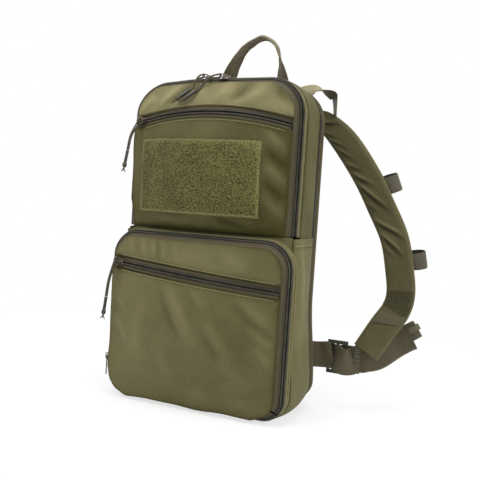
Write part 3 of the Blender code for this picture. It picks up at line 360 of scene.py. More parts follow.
def round_tube(path, radii, reference, sides):
    """Rings round a path: p + r (side cos a + out sin a), with its lengths as the cloth map."""
    ahead = unit(np.gradient(path, axis=0))
    side = unit(np.cross(ahead, reference))
    out = np.cross(side, ahead)
    angle = np.linspace(0.0, 2.0 * np.pi, sides + 1)
    spoke = side[:, None] * np.cos(angle)[:, None] + out[:, None] * np.sin(angle)[:, None]
    radii = np.broadcast_to(radii, len(path))[:, None]
    return path[:, None] + spoke * radii[..., None], places(angle * radii, lengths(path)[:, None])


cord_finish, cord_shader, cord_start = new_finish("braided_cord", {"Roughness": 0.75})
cord_across, cord_along = cord_start.threads()
cord_left = ((cord_across + cord_along) * BRAID_PITCH).sine()
cord_right = ((cord_across - cord_along) * BRAID_PITCH).sine()
cord_braid = cord_left * cord_right * 0.5 + 0.5
cord_braid.tinted(*CORD_COLOUR).feed(cord_shader, "Base Color")
cord_braid.bump(cord_shader, 0.5, 0.0003)

# Each pull: the ring's eye, its spoke out to there, its face, the way the strands lie apart, and their route.
PULLS = {
    "main_left": (
        (-0.02042, -0.04766, 0.46471), (-0.55631, -0.80520, -0.20535), (0.37461, -0.46359, 0.80296),
        (-0.48541, 0.75715, 0.43714),
        ((-0.02342, -0.05415, 0.46151), (-0.02685, -0.05713, 0.45343), (-0.02900, -0.05762, 0.44700),
         (-0.03216, -0.05827, 0.44463)),
    ),
    "main_right": (
        (0.00558, -0.04766, 0.46471), (-0.55631, -0.80520, -0.20535), (0.37461, -0.46359, 0.80296),
        (-0.49290, 0.75352, 0.43504),
        ((-0.00302, -0.05433, 0.46098), (-0.01285, -0.05753, 0.45230), (-0.01900, -0.05815, 0.44550),
         (-0.02215, -0.05885, 0.44314)),
    ),
    "upper_slip": (
        (-0.11577, -0.05864, 0.39669), (-0.45003, -0.34342, -0.82434), (0.13731, -0.93873, 0.31612),
        (-0.96342, 0.26082, 0.06157),
        ((-0.11677, -0.06584, 0.38669), (-0.11797, -0.07224, 0.37469), (-0.11977, -0.07464, 0.35669)),
    ),
    "pocket_slip": (
        (-0.12433, -0.08646, 0.19393), (-0.67845, -0.29851, -0.67126), (0.21315, -0.95441, 0.20899),
        (-0.97964, 0.18872, 0.06853),
        ((-0.12533, -0.09096, 0.18193), (-0.12653, -0.09496, 0.16753), (-0.12833, -0.09646, 0.14593)),
    ),
}

# Grips: black shrink tube over the cord's ends, a knot below it, and the frayed ends of the cord.
# The tube is shrunk on with heat, and the knot stops it.
TUBE_LENGTH = 0.0180
TUBE_RADIUS = 0.0023
TUBE_LAP = 0.0006
TUBE_SHARES = np.array([0.0, 0.0, 0.03, 0.12, 0.5, 0.9, 0.97, 1.0, 1.0])[:, None]
TUBE_SWELL = np.array([0.55, 0.86, 1.0, 1.0, 0.93, 1.0, 1.0, 0.9, 0.55])
TUBE_COLOUR = (0.012, 0.012, 0.013)
KNOT_RADIUS = 0.0019
KNOT_LENGTH = 0.0075
KNOT_WANDER = 0.0022
KNOT_STRAND = 0.00125
NECK_RADII = (0.0013, 0.0017, 0.0020, 0.0017, 0.0012)
TAILS = ((-0.5, 1.0), (0.10, 0.85), (0.55, 0.95))
TAIL_LENGTH = 0.0075
TAIL_SPREAD = 0.006
TAIL_RADII = np.linspace(0.0009, 0.00055, 6)


def grained_finish(name, deep, pale, scale, rough, grain, detail=3.0, settings=None):
    """Plastic, board or thread: a fine grain between two colours, which also makes it more or less rough."""
    made, shader, start = new_finish(name, settings or {})
    speck = start.spots().noise(scale, detail)
    speck.tinted(deep, pale).feed(shader, "Base Color")
    (speck * grain + rough).feed(shader, "Roughness")
    return made


coat = {"Coat Weight": 0.3}
tube_finish = grained_finish("black_shrink_tube", TUBE_COLOUR, TUBE_COLOUR, 500.0, 0.20, 0.25, 2.0, coat)

for pull, parts in PULLS.items():
    eye, spoke, face, apart, route = (np.array(part) for part in parts)
    share = (np.arange(len(route)) + 1.0)[:, None] / len(route)
    strands = []
    for sign in (1.0, -1.0):
        leg = route + (face * RING_BEND * (1.0 - share) + apart * STRAND_SPREAD * share) * sign
        strands.append(np.concatenate([eye[None] + face * RING_BEND * sign, leg]))
    turn = np.linspace(0.0, np.pi, 7)[1:-1, None]
    over = eye + (face * np.cos(turn) - spoke * np.sin(turn)) * RING_BEND
    line = even_path(np.concatenate([strands[0][::-1], over, strands[1]]), CORD_STEP)
    skin = Skin()
    skin.tube(*round_tube(line, CORD_DIAMETER / 2.0, np.cross(spoke, face) + 0.05 * face, 8))
    cord = skin.make(f"{pull}_cord", [cord_finish], f"{pull}_pull", [f"{pull}_pull_cord"])

    way = unit(route[-1] - route[-2])
    side = unit(np.cross(way, face))
    top = route[-1] + way * TUBE_LAP
    grip = Skin()
    grip.tube(*round_tube(top + way * TUBE_LENGTH * TUBE_SHARES, TUBE_RADIUS * TUBE_SWELL, side, 12))
    knot = top + way * (TUBE_LENGTH + KNOT_LENGTH * 0.5)
    angle = np.linspace(0.0, 2.0 * np.pi, 40)[:, None]
    coil = side * np.cos(2.0 * angle) + np.cross(way, side) * np.sin(2.0 * angle)
    turns = knot + coil * KNOT_RADIUS + way * KNOT_WANDER * np.sin(3.0 * angle)
    grip.tube(*round_tube(turns, KNOT_STRAND, way + 0.3 * side, 8), tint=1)
    neck = knot + way * KNOT_LENGTH * np.linspace(-0.6, 0.6, len(NECK_RADII))[:, None]
    grip.tube(*round_tube(neck, NECK_RADII, side, 8), tint=1)
    t = np.linspace(0.0, 1.0, len(TAIL_RADII))[:, None]
    for lean, long in TAILS:
        tail = knot + way * (KNOT_LENGTH * 0.4 + TAIL_LENGTH * long * t)
        tail = tail + side * lean * TAIL_SPREAD * t ** 1.4
        grip.tube(*round_tube(tail, TAIL_RADII, face, 6), tint=1)
    finishes = [tube_finish, cord_finish]
    grip_piece = grip.make(f"{pull}_grip", finishes, f"{pull}_pull", [f"{pull}_pull_grip"])

# Sliders, pull rings and flat tabs: die-cast zip hardware in dark bronze, with a satin coat that is worn.
# Each slider runs on its chain, and its ring or tab hinges under the bridge.
BRONZE_COLOUR = ((0.055, 0.044, 0.030), (0.20, 0.165, 0.115))


def recoat(node_name, finish):
    """Gives a finish to a solid that is shown as it was packed."""
    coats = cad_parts[node_name].data.materials
    coats.clear()
    coats.append(finish)


bronze_finish, bronze_shader, bronze_start = new_finish("dark_bronze", {"Metallic": 0.85})
bronze_wear = bronze_start.spots().noise(420.0, 6.0)
bronze_stops = {"stops": ((0.42, BLACK), (0.68, WHITE))}
bronze_spots = bronze_wear.node("ShaderNodeValToRGB", bronze_stops, {"Fac": bronze_wear})
bronze_spots.tinted(*BRONZE_COLOUR).feed(bronze_shader, "Base Color")
(bronze_wear * 0.3 + 0.22).feed(bronze_shader, "Roughness")
for node_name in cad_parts:
    if node_name.endswith(("_slider", "_ring", "_tab")):
        recoat(node_name, bronze_finish)

# Side gusset and lower shell: coated woven nylon, one long strip that goes right round the pack.
# Below the fold a second layer is sewn over it, with a hem at its top edge and a wall behind the pocket.
BODY_HALF = 0.1315
BODY_TOP = 0.4645
TOP_RADIUS = 0.052
BASE_RADIUS = 0.034
BODY_STEP = 0.004
FOLD_HEIGHT = 0.2485
FRONT_SEAM_Y = -0.050
MAIN_ZIP_REAR_Y = -0.0275
GUSSET_REAR_Y = 0.030
GAP = 0.0003
CLOTH = 0.0022
SHELL_STEP = 0.003
SHELL_LIFT = 0.0016
SHELL_BELLY = 0.0034
SHELL_SAG = 0.0014
SHELL_FOLDS = (0.0024, 0.0016)
SHELL_PULL_IN = 0.007
HEM_DEPTH = 0.011
HEM_ROW = int(HEM_DEPTH / SHELL_STEP)
WALL_CORNER = 0.020
SHARP_CORNER = 0.0005
WALL_INSET = 0.0030
WALL_LAP = 0.0014
WALL_BASE = 0.0006
WALL_TOP = FOLD_HEIGHT - 0.0006
POCKET_HALF = 0.1395
POCKET_TOP = 0.245
POCKET_TOP_RADIUS = 0.042
SLUMP_TOP = 0.160
SLUMP_RUN = 0.130
SLUMP_REACH = 0.0095
DROOP = 0.0055
DROOP_START = (-0.015, 0.405)
DROOP_RUN = (0.095, 0.045)
FLOOR_GIVE = 0.08
# The pale end is greyer and bluer, so that the painted light on the crown reads as a whitish painted sheen.
OLIVE_DEEP = (0.037, 0.034, 0.003)
OLIVE_PALE = (0.248, 0.224, 0.110)
STITCH_COLOUR = (0.36, 0.325, 0.185)
SHEEN_TINT = (0.75, 0.70, 0.45, 1.0)
STITCH_FACES = np.array([(0, 1, 5, 4), (1, 2, 6, 5), (2, 3, 7, 6), (3, 0, 4, 7), (3, 2, 1, 0), (4, 5, 6, 7)])
STITCH_CORNERS = ((-0.5, -0.5), (0.5, -0.5), (0.5, 0.5), (-0.5, 0.5))
STITCH_LENGTH = 0.0023
STITCH_WIDTH = 0.0010
STITCH_RISE = 0.0005
STITCH_PITCH = 0.0043


def woven_finish(name, deep, pale, weave=0.00085, grain=0.35, sheen=0.06):
    """Plain woven nylon: crossing threads sin(u) sin(v) in the cloth map, cloudy, painted paler on fold
    ridges and darker in painted shade.
    """
    sheens = {"Sheen Weight": sheen, "Sheen Roughness": 0.45, "Sheen Tint": SHEEN_TINT}
    made, shader, start = new_finish(name, {"Roughness": 0.74, "Specular IOR Level": 0.26, **sheens})
    pitch = 2.0 * np.pi / weave
    across, along = start.threads()
    threads = (across * pitch).sine() * (along * pitch).sine()
    cloud = start.spots().noise(16.0, 3.0)
    speck = start.spots().noise(620.0)
    # The share takes in each piece's painted light and painted shade.
    share = 0.5 + (cloud - 0.5) * 0.35 + (speck - 0.5) * grain + threads * 0.07 + start.tone_and_shading()
    share.held().tinted(deep, pale).feed(shader, "Base Color")
    (threads * 0.5 + speck * 0.6).bump(shader, 0.35, 0.0002)
    return made


def plain_thread(name, colour):
    """Sewing thread: a fine twist of darker and paler strands."""
    deep, pale = (tuple(shade * part for part in colour) for shade in (0.6, 1.3))
    return grained_finish(name, deep, pale, 900.0, 0.7, 0.0, 2.0)


olive_cloth = woven_finish("olive_nylon", OLIVE_DEEP, OLIVE_PALE)
olive_thread = plain_thread("olive_thread", STITCH_COLOUR)


def rounded_path(half, top, top_radius, step, foot=None):
    """A rounded rectangle in the XZ plane, round from the middle of its base, or from one foot to the other.

    It gives x and z, the outward way and the length walked: straight runs joined by quarter circles.
    """
    quarter = np.linspace(0.0, np.pi / 2.0, 33)
    corners = (
        (half - BASE_RADIUS, BASE_RADIUS, BASE_RADIUS, -0.5),
        (half - top_radius, top - top_radius, top_radius, 0.0),
        (top_radius - half, top - top_radius, top_radius, 0.5),
        (BASE_RADIUS - half, BASE_RADIUS, BASE_RADIUS, 1.0),
    )
    runs = [np.array([[0.0, 0.0, 0.0, -1.0]])]
    for middle_x, middle_z, radius, start in corners:
        angle = start * np.pi + quarter
        out = places(np.cos(angle), np.sin(angle))
        runs.append(np.concatenate([[middle_x, middle_z] + radius * out, out], axis=1))
    line = np.concatenate([*runs, runs[0]])
    walked = lengths(line[:, :2])
    start = 0.0
    if foot is not None:
        start = half - BASE_RADIUS + BASE_RADIUS * np.pi / 2.0 + foot - BASE_RADIUS
    wanted = np.linspace(start, walked[-1] - start, round((walked[-1] - 2.0 * start) / step) + 1)
    found = read_along(wanted, walked, line)
    return found[:, :2], unit(found[:, 2:]), wanted


def body_path(step, foot=None):
    return rounded_path(BODY_HALF, BODY_TOP, TOP_RADIUS, step, foot)


def pocket_path(step):
    return rounded_path(POCKET_HALF, POCKET_TOP, POCKET_TOP_RADIUS, step)


def base_first(walked):
    """The order of an outline's points from its top and through its base, and each one's way from there."""
    from_middle = np.where(walked > walked[-1] / 2.0, walked - walked[-1], walked)
    order = np.argsort(from_middle)
    return order, from_middle[order]


def band_points(path, outward, reach, depth):
    """Carries (outward, y) arrays of rows and columns along an outline in the XZ plane."""
    return places(path[:, :1] + reach * outward[:, :1], depth, path[:, 1:] + reach * outward[:, 1:])


def outline_half(z, half, base, top, radii):
    """Half the width of a rounded outline at a height.

    It is full in the middle, less r - sqrt(r^2 - d^2) at its top and base corners.
    """
    over = np.clip(z - (top - radii[0]), 0.0, radii[0])
    under = np.clip(base + radii[1] - z, 0.0, radii[1])
    wide = half - radii[0] + np.sqrt(radii[0] ** 2 - over ** 2)
    return np.minimum(wide, half - radii[1] + np.sqrt(radii[1] ** 2 - under ** 2))


def ramp(way, run):
    """A share that grows from 0 to 1 over a run, and is held at both ends."""
    return np.clip(way / run, 0.0, 1.0)


def eased(way, run):
    """The same share, smoothed: 3 s^2 - 2 s^3."""
    share = ramp(way, run)
    return share * share * (3.0 - 2.0 * share)


def bell(off, width):
    """A bell curve: one in its middle, and 1/e a width away."""
    return np.exp(-(off / width) ** 2)


def ripple(*waves):
    """A sum of sines of the given (place, wavelength, phase, height) waves."""
    return sum(tall * np.sin(2.0 * np.pi * place / length + phase) for place, length, phase, tall in waves)


def slump(points):
    """Lets the pack settle as it stands: its right side sags outward at the base, its top left corner droops.

    What would sink below the floor is pressed flat on it.
    """
    x, y, z = np.moveaxis(points, -1, 0)
    sag = SLUMP_REACH * eased(SLUMP_TOP - z, SLUMP_RUN) * ramp(x, BODY_HALF) ** 3
    low = z - DROOP * eased(DROOP_START[0] - x, DROOP_RUN[0]) * eased(z - DROOP_START[1], DROOP_RUN[1])
    return places(x + sag, y, np.where(low < 0.0, FLOOR_GIVE * low, low))


def stitches(skin, line, facing, pitch=STITCH_PITCH, tint=1):
    """A row of stitches: small tapered blocks an even pitch apart on a line, standing on the way it faces."""
    walked = lengths(line)
    count = max(2, int(walked[-1] / pitch))
    wanted = (np.arange(count) + 0.5) * walked[-1] / count
    spot = read_along(wanted, walked, line)
    up = unit(read_along(wanted, walked, np.broadcast_to(facing, line.shape)))
    ahead = unit(read_along(wanted, walked, np.gradient(line, axis=0)))
    ways = np.stack([ahead, unit(np.cross(up, ahead)), up], axis=1)
    foot = [(a * STITCH_LENGTH, b * STITCH_WIDTH, -0.4 * STITCH_RISE) for a, b in STITCH_CORNERS]
    crown = [(0.8 * a * STITCH_LENGTH, 0.7 * b * STITCH_WIDTH, STITCH_RISE) for a, b in STITCH_CORNERS]
    skin.copies(STITCH_FACES, spot[:, None] + np.einsum("kc,scd->skd", np.array(foot + crown), ways), tint)


path, outward, walked = body_path(BODY_STEP)
columns = np.linspace(MAIN_ZIP_REAR_Y + GAP, GUSSET_REAR_Y, 13)
bow = np.sin(np.pi * np.linspace(0.0, 1.0, 13))
slack = ripple((walked, 0.21, 0.4, 0.5), (walked, 0.083, 1.3, 0.3), (walked, 0.047, 2.0, 0.15))[:, None]
reach = (0.0012 + 0.0009 * slack) * bow
outer = slump(band_points(path, outward, reach, columns))
inner = slump(band_points(path, outward, reach - CLOTH, columns))
# Painted shade: the gusset is darker all over and darkest in a thin line at both seams, and its slack ripples
# get painted light.
gusset_seam_shade = np.exp(-np.minimum(columns - columns[0], columns[-1] - columns) / 0.0016)
gusset = Skin()
gusset.shell(outer, inner, places(columns, walked[:, None]), 0.10 * slack * bow - 0.32 - 0.6 * gusset_seam_shade)
gusset.make("side_gusset", [olive_cloth], "pack", ["main_gusset"])

path, outward, walked = body_path(SHELL_STEP)
order, _ = base_first(walked)
order = order[path[order, 1] < FOLD_HEIGHT - 0.0004]
path = path[order]
outward = outward[order]
walked = np.linspace(0.0, len(order) * SHELL_STEP, len(order))[:, None]
columns = np.linspace(FRONT_SEAM_Y, GUSSET_REAR_Y - 2.0 * GAP, 25)
share = np.linspace(0.0, 1.0, 25)
to_end = np.minimum(walked, walked[-1] - walked)
high = path[:, 1:]
belly = np.sin(np.pi * share) ** 0.8 * ramp(to_end, 0.05)
sag = ripple((walked, 0.31, 0.9, 0.4), (walked + 0.05 * share, 0.12, 0.2, 0.35)) * belly
upper_fold = bell(share - 0.35 - 1.9 * (FOLD_HEIGHT - 0.035 - high), 0.10) * bell(high - 0.19, 0.05)
lower_fold = bell(share - 0.25 - 2.2 * (0.115 - high), 0.16) * bell(high - 0.09, 0.035)
hem = bell(to_end - HEM_DEPTH, 0.0016)
reach = SHELL_LIFT + SHELL_BELLY * belly + SHELL_SAG * sag - 0.0005 * hem
reach = reach + SHELL_FOLDS[0] * upper_fold + SHELL_FOLDS[1] * lower_fold
reach = np.where(high < 0.002, np.minimum(reach, 0.0006), reach) * np.clip(share * 14.0, 0.35, 1.0)
left_brow = (path[:, :1] < 0.0) * ramp(high - 0.200, 0.040) * ramp(0.26 - share, 0.26)
reach = np.minimum(reach - SHELL_PULL_IN * left_brow, 0.0012 + 0.9 * np.maximum(high, 0.0) ** 0.9)
outer = slump(band_points(path, outward, reach, columns))
inner = slump(band_points(path, outward, np.minimum(reach - CLOTH, -0.0008), columns))
shell = Skin()
# Painted light on the two long folds and the sag's ridges, painted shade on the hem, and the whole shell a
# little darker.
shell_shading = 0.26 * upper_fold + 0.12 * lower_fold + 0.10 * sag - 0.14 - 0.25 * hem
shell.shell(outer, inner, places(columns, walked), shell_shading)
for row in (HEM_ROW, -1 - HEM_ROW):
    stitches(shell, outer[row, 1:-1], (outward[row, 0], 0.0, outward[row, 1]))
wall_rise = (1.0 - np.cos(np.linspace(0.0, np.pi, 70))) / 2.0
wall_side, wall_rise = np.meshgrid(np.linspace(-1.0, 1.0, 40), wall_rise)
z = WALL_BASE + (WALL_TOP - WALL_BASE) * wall_rise
pocket_reach = outline_half(z, POCKET_HALF, 0.0, POCKET_TOP, (POCKET_TOP_RADIUS, BASE_RADIUS)) - WALL_LAP
brow = np.where(wall_side < 0.0, WALL_CORNER, SHARP_CORNER)
wall_half = outline_half(z, BODY_HALF - WALL_INSET, 0.0, WALL_TOP, (brow, BASE_RADIUS))
x = wall_side * np.maximum(wall_half, pocket_reach)
front = places(x, FRONT_SEAM_Y + GAP, z)
shell.shell(front, front + [0.0, CLOTH, 0.0], places(x, z))
shell.make("lower_side_panel", [olive_cloth, olive_thread], "pack", ["lower_shell"])

# Edge zips: a coil chain sewn on woven tape, round the edge of each front flap.
# One half is sewn to the flap and the other to the body, and the two coils mesh over a thin slot.
EDGE_INSET = 0.013
CHAIN_INSET = 0.0042
CHAIN_SETBACK = 0.0095
CHAIN_TILT = math.radians(30.0)
CHAIN_HALF = 0.0046
CHAIN_RISE = 0.0016
CHAIN_SLOT = 0.0006
TAPE_THICK = 0.0011
TAPE_RUN = 0.0128
TAPE_BOW = np.array([0.0, 0.25, 0.6, 1.0])
# Painted shade along both edges of each tape: at its seam with the cloth and beside the coil.
TAPE_EDGE_SHADE = (-0.9, -0.05, 0.05, -0.9)
COIL_PITCH = 0.0029
RIB_STEP = COIL_PITCH / 4.0
POCKET_SEAM_Y = -0.078
TAPE_DEEP = (0.042, 0.035, 0.018)
TAPE_PALE = (0.092, 0.076, 0.042)
# The pale end is the painted highlight on the coil's rib crests.
COIL_AND_HIGHLIGHT_COLOUR = ((0.007, 0.007, 0.005), (0.34, 0.31, 0.225))

tape_cloth = woven_finish("taupe_zip_tape", TAPE_DEEP, TAPE_PALE, weave=0.0006, grain=0.35, sheen=0.08)
# Painted highlight: each rib's crest is drawn pale, squared and broken by a noise that also varies the
# roughness.
coil_nylon, coil_shader, coil_start = new_finish("dark_coil", {"Specular IOR Level": 0.15})
coil_rib_highlight = coil_start.tone_and_shading()
coil_highlight_and_roughness_noise = coil_start.spots().noise(90.0, 4.0)
(coil_rib_highlight * coil_rib_highlight * coil_highlight_and_roughness_noise * 1.5).tinted(*COIL_AND_HIGHLIGHT_COLOUR).feed(coil_shader, "Base Color")
(0.62 - coil_highlight_and_roughness_noise * 0.3).feed(coil_shader, "Roughness")


def chain_columns(walked, half, rise, pitch=COIL_PITCH):
    """Across, lift and crown of one coil row, from its tape edge to the slot; the crown is a painted
    highlight on each rib's crest.

    The lift is half a sine across, ribbed along the chain by a cosine whose phase slants across the row.
    """
    angle = np.linspace(0.0, np.pi, 7)
    across = CHAIN_SLOT + (half - CHAIN_SLOT) * (1.0 + np.cos(angle)) / 2.0
    rib = np.cos(2.0 * np.pi * walked[:, None] / pitch + 1.5 * across / half)
    lift = rise * np.sin(angle) ** 0.6 * (0.80 + 0.42 * rib)
    return np.broadcast_to(across, lift.shape), lift, np.clip(rib, 0.0, 1.0) * np.sin(angle)


def zip_half(skin, line, centre, tilt, half, side, tape_edge, settle=np.array):
    """One half of a zip: a profile of tape, coil and underside, carried along an outline in the XZ plane."""
    path, outward, walked = line
    rise = CHAIN_RISE

    def spot(across, lift):
        reach = centre[0] + across * side * math.sin(tilt) + lift * math.cos(tilt)
        return reach, centre[1] + across * side * math.cos(tilt) - lift * math.sin(tilt)

    across, lift, crown = chain_columns(walked, half, rise)
    coil_reach, coil_y = spot(across, lift)
    foot = spot(half + 0.0004, 0.0)
    sink = 0.0006 * np.sin(np.pi * TAPE_BOW)
    tape_reach = tape_edge[0] + (foot[0] - tape_edge[0]) * TAPE_BOW - sink
    tape_y = tape_edge[1] + (foot[1] - tape_edge[1]) * TAPE_BOW + sink * (0.6 if side < 0 else 0.0)
    under = [spot(CHAIN_SLOT, -0.7 * rise), spot(half, -0.7 * rise), spot(half, -TAPE_THICK)]
    under.append((tape_edge[0] - TAPE_THICK * 0.7, tape_edge[1] + (0.4 * TAPE_THICK if side < 0 else 0.0)))
    under.append((tape_reach[0], tape_y[0]))
    under = np.array(under)
    fixed = np.ones((len(walked), 1))
    reach = np.concatenate([fixed * tape_reach, coil_reach, fixed * under[:, 0]], axis=1)
    depth = np.concatenate([fixed * tape_y, coil_y, fixed * under[:, 1]], axis=1)
    # The tape carries painted shade at its edges, and the coil a painted highlight on each rib's crest.
    tone_and_shading = np.concatenate([fixed * TAPE_EDGE_SHADE, crown, fixed * np.zeros(len(under))], axis=1)
    tint = np.array([0] * 3 + [1] * 9 + [0] * 3)
    points = settle(band_points(path, outward, reach, depth))
    skin.tube(points, places(depth, walked[:, None]), tone_and_shading, tint)


def edge_zip(name, line, seam_y, side, body, node, settle=np.array):
    """One half of an edge zip: side -1 is sewn to the front's cloth, and side 1 to the body behind it."""
    edge = (GAP - EDGE_INSET, seam_y) if side < 0 else (-GAP, seam_y + CHAIN_SETBACK + TAPE_RUN)
    skin = Skin()
    zip_half(skin, line, (-CHAIN_INSET, seam_y + CHAIN_SETBACK), CHAIN_TILT, CHAIN_HALF, side, edge, settle)
    skin.make(name, [olive_cloth if side > 0 else tape_cloth, coil_nylon], body, [node])


main_arch = body_path(RIB_STEP, FOLD_HEIGHT + GAP)
pocket_ring = pocket_path(RIB_STEP)
toe_angle = math.acos(1.0 - EDGE_INSET / BASE_RADIUS) + math.radians(2.0)
toe_walk = POCKET_HALF - BASE_RADIUS + BASE_RADIUS * (toe_angle - math.radians(3.5))
flap_walk = toe_walk + BASE_RADIUS * math.radians(4.5)
ring_walk = pocket_ring[2]
above_toe = (ring_walk > flap_walk) & (ring_walk < ring_walk[-1] - flap_walk)
pocket_arch = [part[above_toe] for part in pocket_ring]
edge_zip("main_zip_front", main_arch, FRONT_SEAM_Y, -1, "main_flap", "main_zip_front_half", slump)
edge_zip("main_zip_rear", main_arch, FRONT_SEAM_Y, 1, "pack", "main_zip_rear_half", slump)
edge_zip("pocket_zip_front", pocket_arch, POCKET_SEAM_Y, -1, "pocket_flap", "pocket_zip_front_half")
edge_zip("pocket_zip_rear", pocket_ring, POCKET_SEAM_Y, 1, "pack", "pocket_zip_rear_half")

# Pocket toe and pocket gusset: the strip of tape along the pocket's base that stays shut below the fold,
# and the narrow binding that sews the pocket's zip to the body.
BINDING_HALF = (0.0034, 0.0012)
BINDING_INSET = 0.0011
order, from_middle = base_first(ring_walk)
order = order[np.abs(from_middle) < toe_walk]
toe_line = (pocket_ring[0][order], pocket_ring[1][order], np.linspace(0.0, 2.0 * toe_walk, len(order)))
edge_zip("pocket_toe_tape", toe_line, POCKET_SEAM_Y, -1, "pack", "pocket_toe")
path, outward, walked = pocket_path(BODY_STEP)
turn = np.linspace(0.0, 2.0 * np.pi, 13)[None, :]
binding_rear_y = POCKET_SEAM_Y + CHAIN_SETBACK + TAPE_RUN + 0.0005
binding_y = (binding_rear_y + FRONT_SEAM_Y - GAP) / 2.0 + BINDING_HALF[0] * np.cos(turn)
binding_points = band_points(path, outward, BINDING_HALF[1] * np.sin(turn) - BINDING_INSET, binding_y)
binding = Skin()
binding.grid(binding_points, places(binding_y, walked[:, None]))
binding.make("pocket_binding", [olive_cloth], "pack", ["pocket_gusset"])

# Rear zip: a finer coil chain right round the pack, between the side gusset and the back panel.
# Its tapes are sewn under the gusset's edge and the back panel's binding, and meet at a stop in the base.
REAR_CHAIN_HALF = 0.0035
REAR_ZIP_Y = 0.0388
REAR_ZIP_REACH = 0.0085
REAR_CENTRE = (-CHAIN_RISE - GAP, REAR_ZIP_Y)
REAR_TAPE_LIFT = 0.0008
STOP_HALF = (0.006, 0.0021, 0.0013)
STOP_HEIGHT = 0.0019
rear_ring = body_path(RIB_STEP)
rear_zip = Skin()
for side in (-1, 1):
    tape_edge = (REAR_CENTRE[0] + REAR_TAPE_LIFT, REAR_ZIP_Y + side * REAR_ZIP_REACH)
    zip_half(rear_zip, rear_ring, REAR_CENTRE, 0.0, REAR_CHAIN_HALF, side, tape_edge, slump)
turn = np.linspace(0.0, 2.0 * np.pi, 17)
stop_x = np.linspace(-STOP_HALF[0], STOP_HALF[0], 9)[:, None]
stop_reach = np.sqrt(np.clip(1.0 - (stop_x / (STOP_HALF[0] + 0.0001)) ** 4, 0.02, 1.0))
stop_y = REAR_ZIP_Y + STOP_HALF[1] * np.cos(turn) * stop_reach
rear_zip.tube(places(stop_x, stop_y, STOP_HEIGHT + STOP_HALF[2] * np.sin(turn) * stop_reach), tint=1)
rear_zip.make("rear_zip_chain", [tape_cloth, coil_nylon], "pack", ["rear_zip"])

# Upper front flap: two cloth panels, joined by the slip zip and hemmed along its lips.
# The flap folds down at its foot. The cloth bulges, and creases run from the loop panel and the corners.
SLIP_MARGIN = 0.0075 + 2.0 * GAP
EDGE_STITCH = 0.0028
STITCH_LIFT = 0.0011
PANEL_SWELL = 0.0012
EDGE_ROLL = 0.0022
LOOSE_RUN = 0.010
HANG_RUN = (0.0018, 0.011)
UPPER_SLIP_HEIGHT = 0.3980
UPPER_SLIP_ARCH = 0.0150
CROWN_PUSH = (0.0035, 0.0040, 0.0050, 0.0)
FRONT_PUSH = (0.0075, 0.0040, 0.0, 0.0)
CROWN_CREASES = (
    ((-0.046, 0.452), (-0.082, 0.420), 0.0050, 0.0034, 0.5),
    ((-0.030, 0.452), (-0.052, 0.424), 0.0045, -0.0026, 0.0),
    ((-0.010, 0.456), (-0.022, 0.422), 0.0065, 0.0030, 0.0),
    ((0.030, 0.453), (0.008, 0.424), 0.0080, 0.0032, -0.6),
    ((0.062, 0.452), (0.026, 0.424), 0.0060, -0.0028, 0.0),
    ((0.084, 0.450), (0.050, 0.420), 0.0075, 0.0030, 0.0),
    ((0.088, 0.450), (0.119, 0.420), 0.0080, -0.0040, 0.0),
    ((-0.092, 0.440), (-0.112, 0.408), 0.0070, 0.0020, 0.0),
)
FRONT_CREASES = (
    ((0.082, 0.392), (0.120, 0.352), 0.0055, 0.0036, 0.6),
    ((0.083, 0.366), (0.120, 0.330), 0.0050, -0.0026, 0.0),
    ((0.084, 0.346), (0.120, 0.310), 0.0055, 0.0034, 0.5),
    ((0.083, 0.322), (0.120, 0.290), 0.0050, -0.0024, 0.0),
    ((0.082, 0.302), (0.119, 0.268), 0.0060, 0.0030, 0.4),
    ((0.015, 0.266), (0.070, 0.252), 0.0055, -0.0030, 0.0),
    ((-0.090, 0.262), (-0.020, 0.256), 0.0050, 0.0016, 0.0),
    ((-0.112, 0.380), (-0.108, 0.268), 0.0045, 0.0014, 0.0),
)


def level(height):
    """A height curve that is straight across."""
    def curve(x):
        return np.full_like(x, height)
    return curve


class FrontFace:
    """A bulged front in a rounded outline: y = seam - bulge (1 - u^2) sin(pi (foot + (1 - foot) rise))."""

    def __init__(self, half, base, top, radii, seam_y=0.0, bulge=0.0, foot=0.0):
        self.half = half
        self.base = base
        self.top = top
        self.radii = radii
        self.seam_y = seam_y
        self.bulge = bulge
        self.foot = foot

    def half_at(self, z):
        return outline_half(z, self.half, self.base, self.top, self.radii)

    def front(self, x, z):
        across = np.clip(1.0 - (x / self.half) ** 2, 0.0, 1.0)
        rise = ramp(z - self.base, self.top - self.base)
        return self.seam_y - self.bulge * across * np.sin(np.pi * (self.foot + (1.0 - self.foot) * rise))

    def point(self, x, z, lift=0.0):
        return places(x, self.front(x, z) - lift, z)

    def facing(self, x, z, step=0.002):
        along = self.point(x + step, z) - self.point(x - step, z)
        upward = self.point(x, z + step) - self.point(x, z - step)
        return unit(np.cross(along, upward))

    def net(self, low, high, columns, rows):
        """Rows and columns of places between two height curves, closer together towards each edge."""
        u = np.linspace(-1.0, 1.0, columns)
        v = np.linspace(0.0, 1.0, rows)
        u = np.sin(0.5 * np.pi * u) * 0.35 + u * 0.65
        v = (1.0 - np.cos(np.pi * v)) * 0.5 * 0.35 + v * 0.65
        u, v = np.meshgrid(u, v)
        x = u * self.half
        for _ in range(2):
            z = low(x) + (high(x) - low(x)) * v
            x = u * self.half_at(z)
        return x, z

    def inside(self, x, z):
        """How far a place is from the nearest edge, across or up and down."""
        return np.minimum(self.half_at(z) - np.abs(x), np.minimum(z - self.base, self.top - z))


